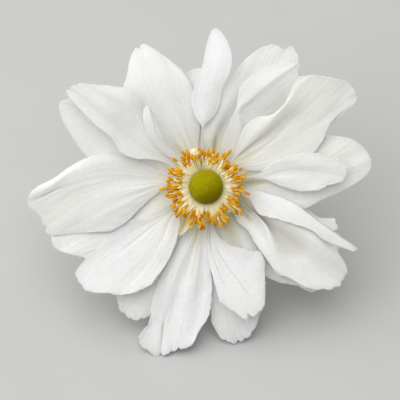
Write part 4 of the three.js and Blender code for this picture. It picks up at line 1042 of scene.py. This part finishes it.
def build_carpel_head(materials):
    """Globe of tiny carpels, each a mound with a pointed tip."""
    directions, faces = globe_mesh()
    rng = np.random.default_rng(SEEDS["carpels"])
    shifts = rng.normal(0.0, CARPEL_SCATTER, (CARPEL_COUNT, 3))
    carpels = unit(fibonacci_directions(CARPEL_COUNT) + shifts)
    tints = rng.uniform(size=CARPEL_COUNT)
    tree = kdtree.KDTree(CARPEL_COUNT)
    for k, carpel in enumerate(carpels):
        tree.insert(carpel, k)
    tree.balance()
    nearest = [tree.find(direction) for direction in directions]
    distance = np.array([found[2] for found in nearest])
    half_spacing = math.sqrt(4 * math.pi / CARPEL_COUNT) / 2
    s = np.clip(distance / half_spacing, 0.0, CARPEL_FURROW)
    mound = 1.0 - s**2
    point = bell(s / CARPEL_POINT)
    relief = CARPEL_MOUND_SHARE * mound + CARPEL_POINT_SHARE * point - CARPEL_SINK
    radius = HEAD_RADIUS + CARPEL_RELIEF * relief
    body = Body()
    body.add(
        directions * radius[:, None] + [0.0, 0.0, HEAD_CENTRE], faces,
        tip=np.clip(CARPEL_TIP[0] * mound + CARPEL_TIP[1] * point, 0.0, 1.0),
        tint=tints[[found[1] for found in nearest]],
        # painted shade on the side away from the light
        ripeness=smoothstep(directions @ SHADED_SIDE, *SHADED_SIDE_RANGE),
    )
    body.piece("carpel_globe", [materials["carpel"]], "carpel", ["carpel_head"])


# ---------------- stamens


def thread_line(rng, angle, end):
    """Points of a thread that rises beside the carpels, then bows outwards to its end."""
    foot = polar(angle, FOOT_RADIUS, FOOT_HEIGHT)
    knee_radius = KNEE_RADIUS + rng.uniform(0.0, KNEE_OUT)
    knee = polar(angle, knee_radius, KNEE_HEIGHT + rng.normal(0.0, KNEE_SCATTER))
    return even_points(np.array([foot, knee, end]), THREAD_STEPS)


def add_filament(body, rng, angle, end, own, radius=FILAMENT_RADIUS):
    """One thread from the ring below the carpels to its end."""
    line = thread_line(rng, angle, end)
    along = np.linspace(0.0, 1.0, len(line))
    radii = radius * np.linspace(*THREAD_TAPER, len(line)) * rng.uniform(*THREAD_SIZES)
    points, faces = tube(line, radii[:, None], FILAMENT_SIDES)
    along = np.concatenate([np.repeat(along, FILAMENT_SIDES), [0.0, 1.0]])
    body.add(points, faces, along=along, own=own, groove=0.0)


def add_anther(body, base, direction, roll, scale, own):
    """A two-lobed anther that points in a direction, turned about it by roll."""
    direction = unit(direction)
    side = unit(np.cross(direction, [0.0, 0.0, 1.0]))
    other = np.cross(side, direction)
    width_way = side * math.cos(roll) + other * math.sin(roll)
    depth_way = other * math.cos(roll) - side * math.sin(roll)
    turns = circle_of(ANTHER_SIDES)
    steps = np.linspace(0.04, 0.96, ANTHER_RINGS)
    swell = scale * np.sin(math.pi * steps)[:, None] ** ANTHER_BLUNTNESS
    dent = bell(np.cos(turns) / ANTHER_GROOVE_WIDTH)
    x = np.cos(turns) * swell * ANTHER_WIDTH / 2
    y = np.sin(turns) * (1 - ANTHER_GROOVE * dent) * swell * ANTHER_DEPTH / 2
    length = ANTHER_LENGTH * scale
    centre = base + direction * (steps[:, None] * length)
    wall = centre[:, None] + x[..., None] * width_way + y[..., None] * depth_way
    ends = [base + direction * 0.01, base + direction * length * 0.99]
    # where painted shade goes: the groove between the lobes
    groove = np.concatenate([np.tile(dent, ANTHER_RINGS), [0.5, 0.2]])
    points = np.vstack([wall.reshape(-1, 3), ends])
    faces = rings_to_faces(ANTHER_RINGS, ANTHER_SIDES)
    body.add(points, faces, 1, along=1.0, own=own, groove=groove)


def add_stamen(body, rng, angle, reach):
    """An anther on its thread."""
    own = rng.uniform()
    height = ANTHER_HEIGHT + ANTHER_RISE * reach + rng.normal(0.0, ANTHER_SCATTER)
    to_ball = polar(angle, reach, 0.0) - polar(BALL["angle"], BALL["reach"], 0.0)
    if np.linalg.norm(to_ball) < BALL["radius"] + BALL_NEAR:
        height += BALL_PUSH
    base = polar(angle, reach - ANTHER_LENGTH / 2, height)
    add_filament(body, rng, angle + rng.normal(0.0, THREAD_LEAN), base, own)
    outward = polar(angle + rng.normal(0.0, ANTHER_TURN), 1.0, rng.normal(*ANTHER_TILT))
    roll = rng.uniform(-ANTHER_ROLL, ANTHER_ROLL)
    add_anther(body, base, outward, roll, rng.uniform(*ANTHER_SIZES), own)


def scatter(rng, angle, reach, spread, count):
    """Angles and reaches of a tuft's anthers, scattered but not piled up."""
    middle = polar(angle, reach, 0.0)
    chosen = []
    for _ in range(int(count * TUFT_CROWDING)):
        ways = [polar(rng.uniform(0, 360), math.sqrt(rng.uniform()), 0.0) for _ in range(TUFT_TRIES)]
        tries = [middle + spread * TUFT_SPREAD * way for way in ways]
        gaps = [min([math.dist(here, other) for other in chosen], default=9.0) for here in tries]
        chosen.append(tries[gaps.index(max(gaps))])
    return [(math.degrees(math.atan2(y, x)), math.hypot(x, y)) for x, y, _ in chosen]


def stamen_angles():
    """The angle at which each of the part's stamens stands, by node."""
    angles = {}
    for name in sorted(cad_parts):
        if name.startswith("stamen_"):
            low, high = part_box(name)
            offset = (np.array(low) + np.array(high)) / 2 - CENTRE
            angles[name] = math.atan2(offset @ FACE_UP, offset @ FACE_RIGHT)
    return angles


def build_stamens(materials):
    """Every stamen joins the tuft that stands for the part's nearest one."""
    angles = stamen_angles()
    bodies = {name: Body() for name in angles}
    rng = np.random.default_rng(SEEDS["stamens"])

    def nearest_body(angle):
        turn = math.radians(angle)
        away = {name: abs(math.remainder(turn - angles[name], 2 * math.pi)) for name in angles}
        return bodies[min(away, key=away.get)]

    for tuft in STAMEN_TUFTS:
        for angle, reach in scatter(rng, *tuft):
            add_stamen(nearest_body(angle), rng, angle, reach)
    for k in range(DISC_THREADS):
        angle = 360.0 * k / DISC_THREADS - 180.0
        drift = rng.normal(0.0, DISC_DRIFT)
        end = polar(angle + drift, rng.uniform(*DISC_REACH), rng.uniform(*DISC_HEIGHT))
        add_filament(nearest_body(angle), rng, angle, end, rng.uniform(), DISC_THREAD_RADIUS)
    for name, body in bodies.items():
        body.piece(f"{name}_tuft", [materials["filament"], materials["anther"]], "anther", [name])


def build_ball(materials):
    """A small petaloid that has stayed rolled up in a ball on its thread."""
    rng = np.random.default_rng(SEEDS["ball"])
    angle, reach, radius = BALL["angle"], BALL["reach"], BALL["radius"]
    centre = polar(angle, reach, ANTHER_HEIGHT + ANTHER_RISE * reach)
    latitudes = np.linspace(-math.pi / 2, math.pi / 2, BALL_RINGS + 2)[1:-1]
    lat, turn = np.meshgrid(latitudes, circle_of(BALL_SIDES), indexing="ij")
    from_furrow = turn - BALL_FURROW["turn"]
    furrow = bell(np.sin(from_furrow) / BALL_FURROW["width"]) * (np.cos(from_furrow) > 0)
    dent = BALL_FURROW["depth"] * furrow * np.cos(lat) ** 2
    size = radius * (1.0 + BALL_LUMPS * np.sin(3 * turn + 2 * lat) - dent)
    ways = [np.cos(lat) * np.cos(turn), np.cos(lat) * np.sin(turn), BALL_FLATNESS * np.sin(lat)]
    wall = np.stack(ways, axis=-1) * size[..., None]
    ends = [[0.0, 0.0, -BALL_POLES * radius], [0.0, 0.0, BALL_POLES * radius]]
    points = np.vstack([wall.reshape(-1, 3), ends]) + centre
    body = Body()
    body.add(points, rings_to_faces(BALL_RINGS, BALL_SIDES))
    short, below = BALL_THREAD_END
    line = thread_line(rng, angle, centre - polar(angle, radius * short, below))
    body.add(*tube(line, np.full((len(line), 1), BALL_THREAD_RADIUS), BALL_THREAD_SIDES))
    body.piece("petaloid_ball_rolled", [materials["petaloid"]], "petaloid", ["petaloid_ball"])


# ---------------- stem


def stem_line():
    """Middle line of receptacle and stem, down the flower's axis and along the floor."""
    bend_drop = STEM_BEND_RADIUS * (1 - math.cos(FACE_ELEVATION))
    straight = (CENTRE[2] / MM - STEM_RADIUS - bend_drop) / math.sin(FACE_ELEVATION)
    heights = [RECEPTACLE_TOP, RECEPTACLE_BOTTOM, RECEPTACLE_BOTTOM - RECEPTACLE_TAPER]
    heights += [-straight * STEM_GUIDE, -straight]
    points = [height * FACE_FORWARD for height in heights]
    bend_start = points[-1]
    for k in range(1, 5):
        slope = FACE_ELEVATION * (1 - k / 4)
        ahead = STEM_BEND_RADIUS * (math.sin(FACE_ELEVATION) - math.sin(slope))
        down = STEM_BEND_RADIUS * (math.cos(slope) - math.cos(FACE_ELEVATION))
        points.append(bend_start + [0.0, ahead, -down])
    lying_start = points[-1]
    for t in (1 / 3, 2 / 3, 1.0):
        points.append(lying_start + [STEM_SIDE_SWEEP * t * t, STEM_LYING_LENGTH * t, 0.0])
    return np.array(points)


def build_stem(materials):
    """Receptacle and ribbed stem in one, with a cut end."""
    line = even_points(stem_line(), STEM_STEPS)
    distance = np.linspace(0.0, lengths(line), len(line))
    shoulder = RECEPTACLE_TOP - RECEPTACLE_BOTTOM
    taper = smoothstep(distance, shoulder * RECEPTACLE_STRAIGHT, shoulder + RECEPTACLE_TAPER)
    radius = RECEPTACLE_RADIUS + (STEM_RADIUS * STEM_SLIMNESS - RECEPTACLE_RADIUS) * taper
    rounded = 1.0 - smoothstep(distance, 0.0, RECEPTACLE_ROUNDED)
    radius = radius * (1.0 - RECEPTACLE_ROUNDING * rounded)
    ribs = 0.5 + 0.5 * np.cos(STEM_RIBS * circle_of(STEM_SIDES))
    points, faces = tube(line, radius[:, None] * (1.0 - RIB_DEPTH * (1.0 - ribs)), STEM_SIDES)
    on_cut = [len(points) - 1 in face for face in faces]
    body = Body()
    body.add(
        points @ FACE_AXES.T, faces, on_cut,
        along=np.concatenate([np.repeat(distance / distance[-1], STEM_SIDES), [0.0, 1.0]]),
        rib=np.concatenate([np.tile(ribs, len(line)), [0.0, 0.0]]),
    )
    body.piece(
        "stem_with_receptacle", [materials["stem"], materials["pith"]], "stem",
        ["receptacle_and_stem"],
    )


# ---------------- floor, light, camera
FLOOR_SIZE = 4.0
VIEW_CENTRE = (-1.5, -3.25, 0.0)  # what the camera looks at, in the flower's face
VIEW_WIDTH = 0.100
CAMERA_DISTANCE = 0.9
SENSOR_WIDTH = 36.0
LIGHT_WAY = (-0.45, 0.75, 0.9)  # from the flower, in its face
LIGHT_DISTANCE = 0.9
LIGHT_SIZE = 1.7
LIGHT_POWER = 15.8
AMBIENT_COLOUR = (1.0, 0.99, 0.94, 1.0)
AMBIENT_STRENGTH = 0.25


def aim(name, data, target, way, distance):
    """Puts a light or camera at a distance from its target, and turns it to face that."""
    item = bpy.data.objects.new(name, data)
    bpy.context.scene.collection.objects.link(item)
    way = Vector(unit(np.array(way)))
    item.location = Vector(target) + way * distance
    item.rotation_mode = "QUATERNION"
    item.rotation_quaternion = (-way).to_track_quat("-Z", "Y")
    return item


def build_floor():
    bpy.ops.mesh.primitive_plane_add(size=FLOOR_SIZE, location=(0.0, 0.0, 0.0))
    floor = bpy.context.active_object
    floor.name = "floor"
    floor.data.materials.append(floor_material())


def build_lights():
    """One large soft square light, and an even pale surrounding."""
    world = bpy.data.worlds.new("studio")
    bpy.context.scene.world = world
    world.use_nodes = True
    background = world.node_tree.nodes["Background"].inputs
    background["Color"].default_value = AMBIENT_COLOUR
    background["Strength"].default_value = AMBIENT_STRENGTH
    key = bpy.data.lights.new("key", "AREA")
    key.shape = "SQUARE"
    key.size = LIGHT_SIZE
    key.energy = LIGHT_POWER
    aim("key", key, CENTRE, np.array(LIGHT_WAY) @ FACE_AXES, LIGHT_DISTANCE)


def build_camera():
    """Looks straight at the flower's face, as from above a flower that lies down."""
    data = bpy.data.cameras.new("camera")
    data.sensor_width = SENSOR_WIDTH
    data.lens = SENSOR_WIDTH * CAMERA_DISTANCE / VIEW_WIDTH
    camera = aim("camera", data, place(VIEW_CENTRE), FACE_FORWARD, CAMERA_DISTANCE)
    bpy.context.scene.camera = camera


def main():
    bpy.context.scene.view_settings.view_transform = "Standard"
    build_camera()
    build_lights()
    build_floor()
    materials = {
        "tepal": tepal_material(),
        "petaloid": petaloid_material(),
        "filament": filament_material(),
        "anther": anther_material(),
        "carpel": carpel_material(),
        "stem": stem_material(),
        "pith": pith_material(),
    }
    build_tepals(materials)
    build_carpel_head(materials)
    build_stamens(materials)
    build_ball(materials)
    build_stem(materials)


main()
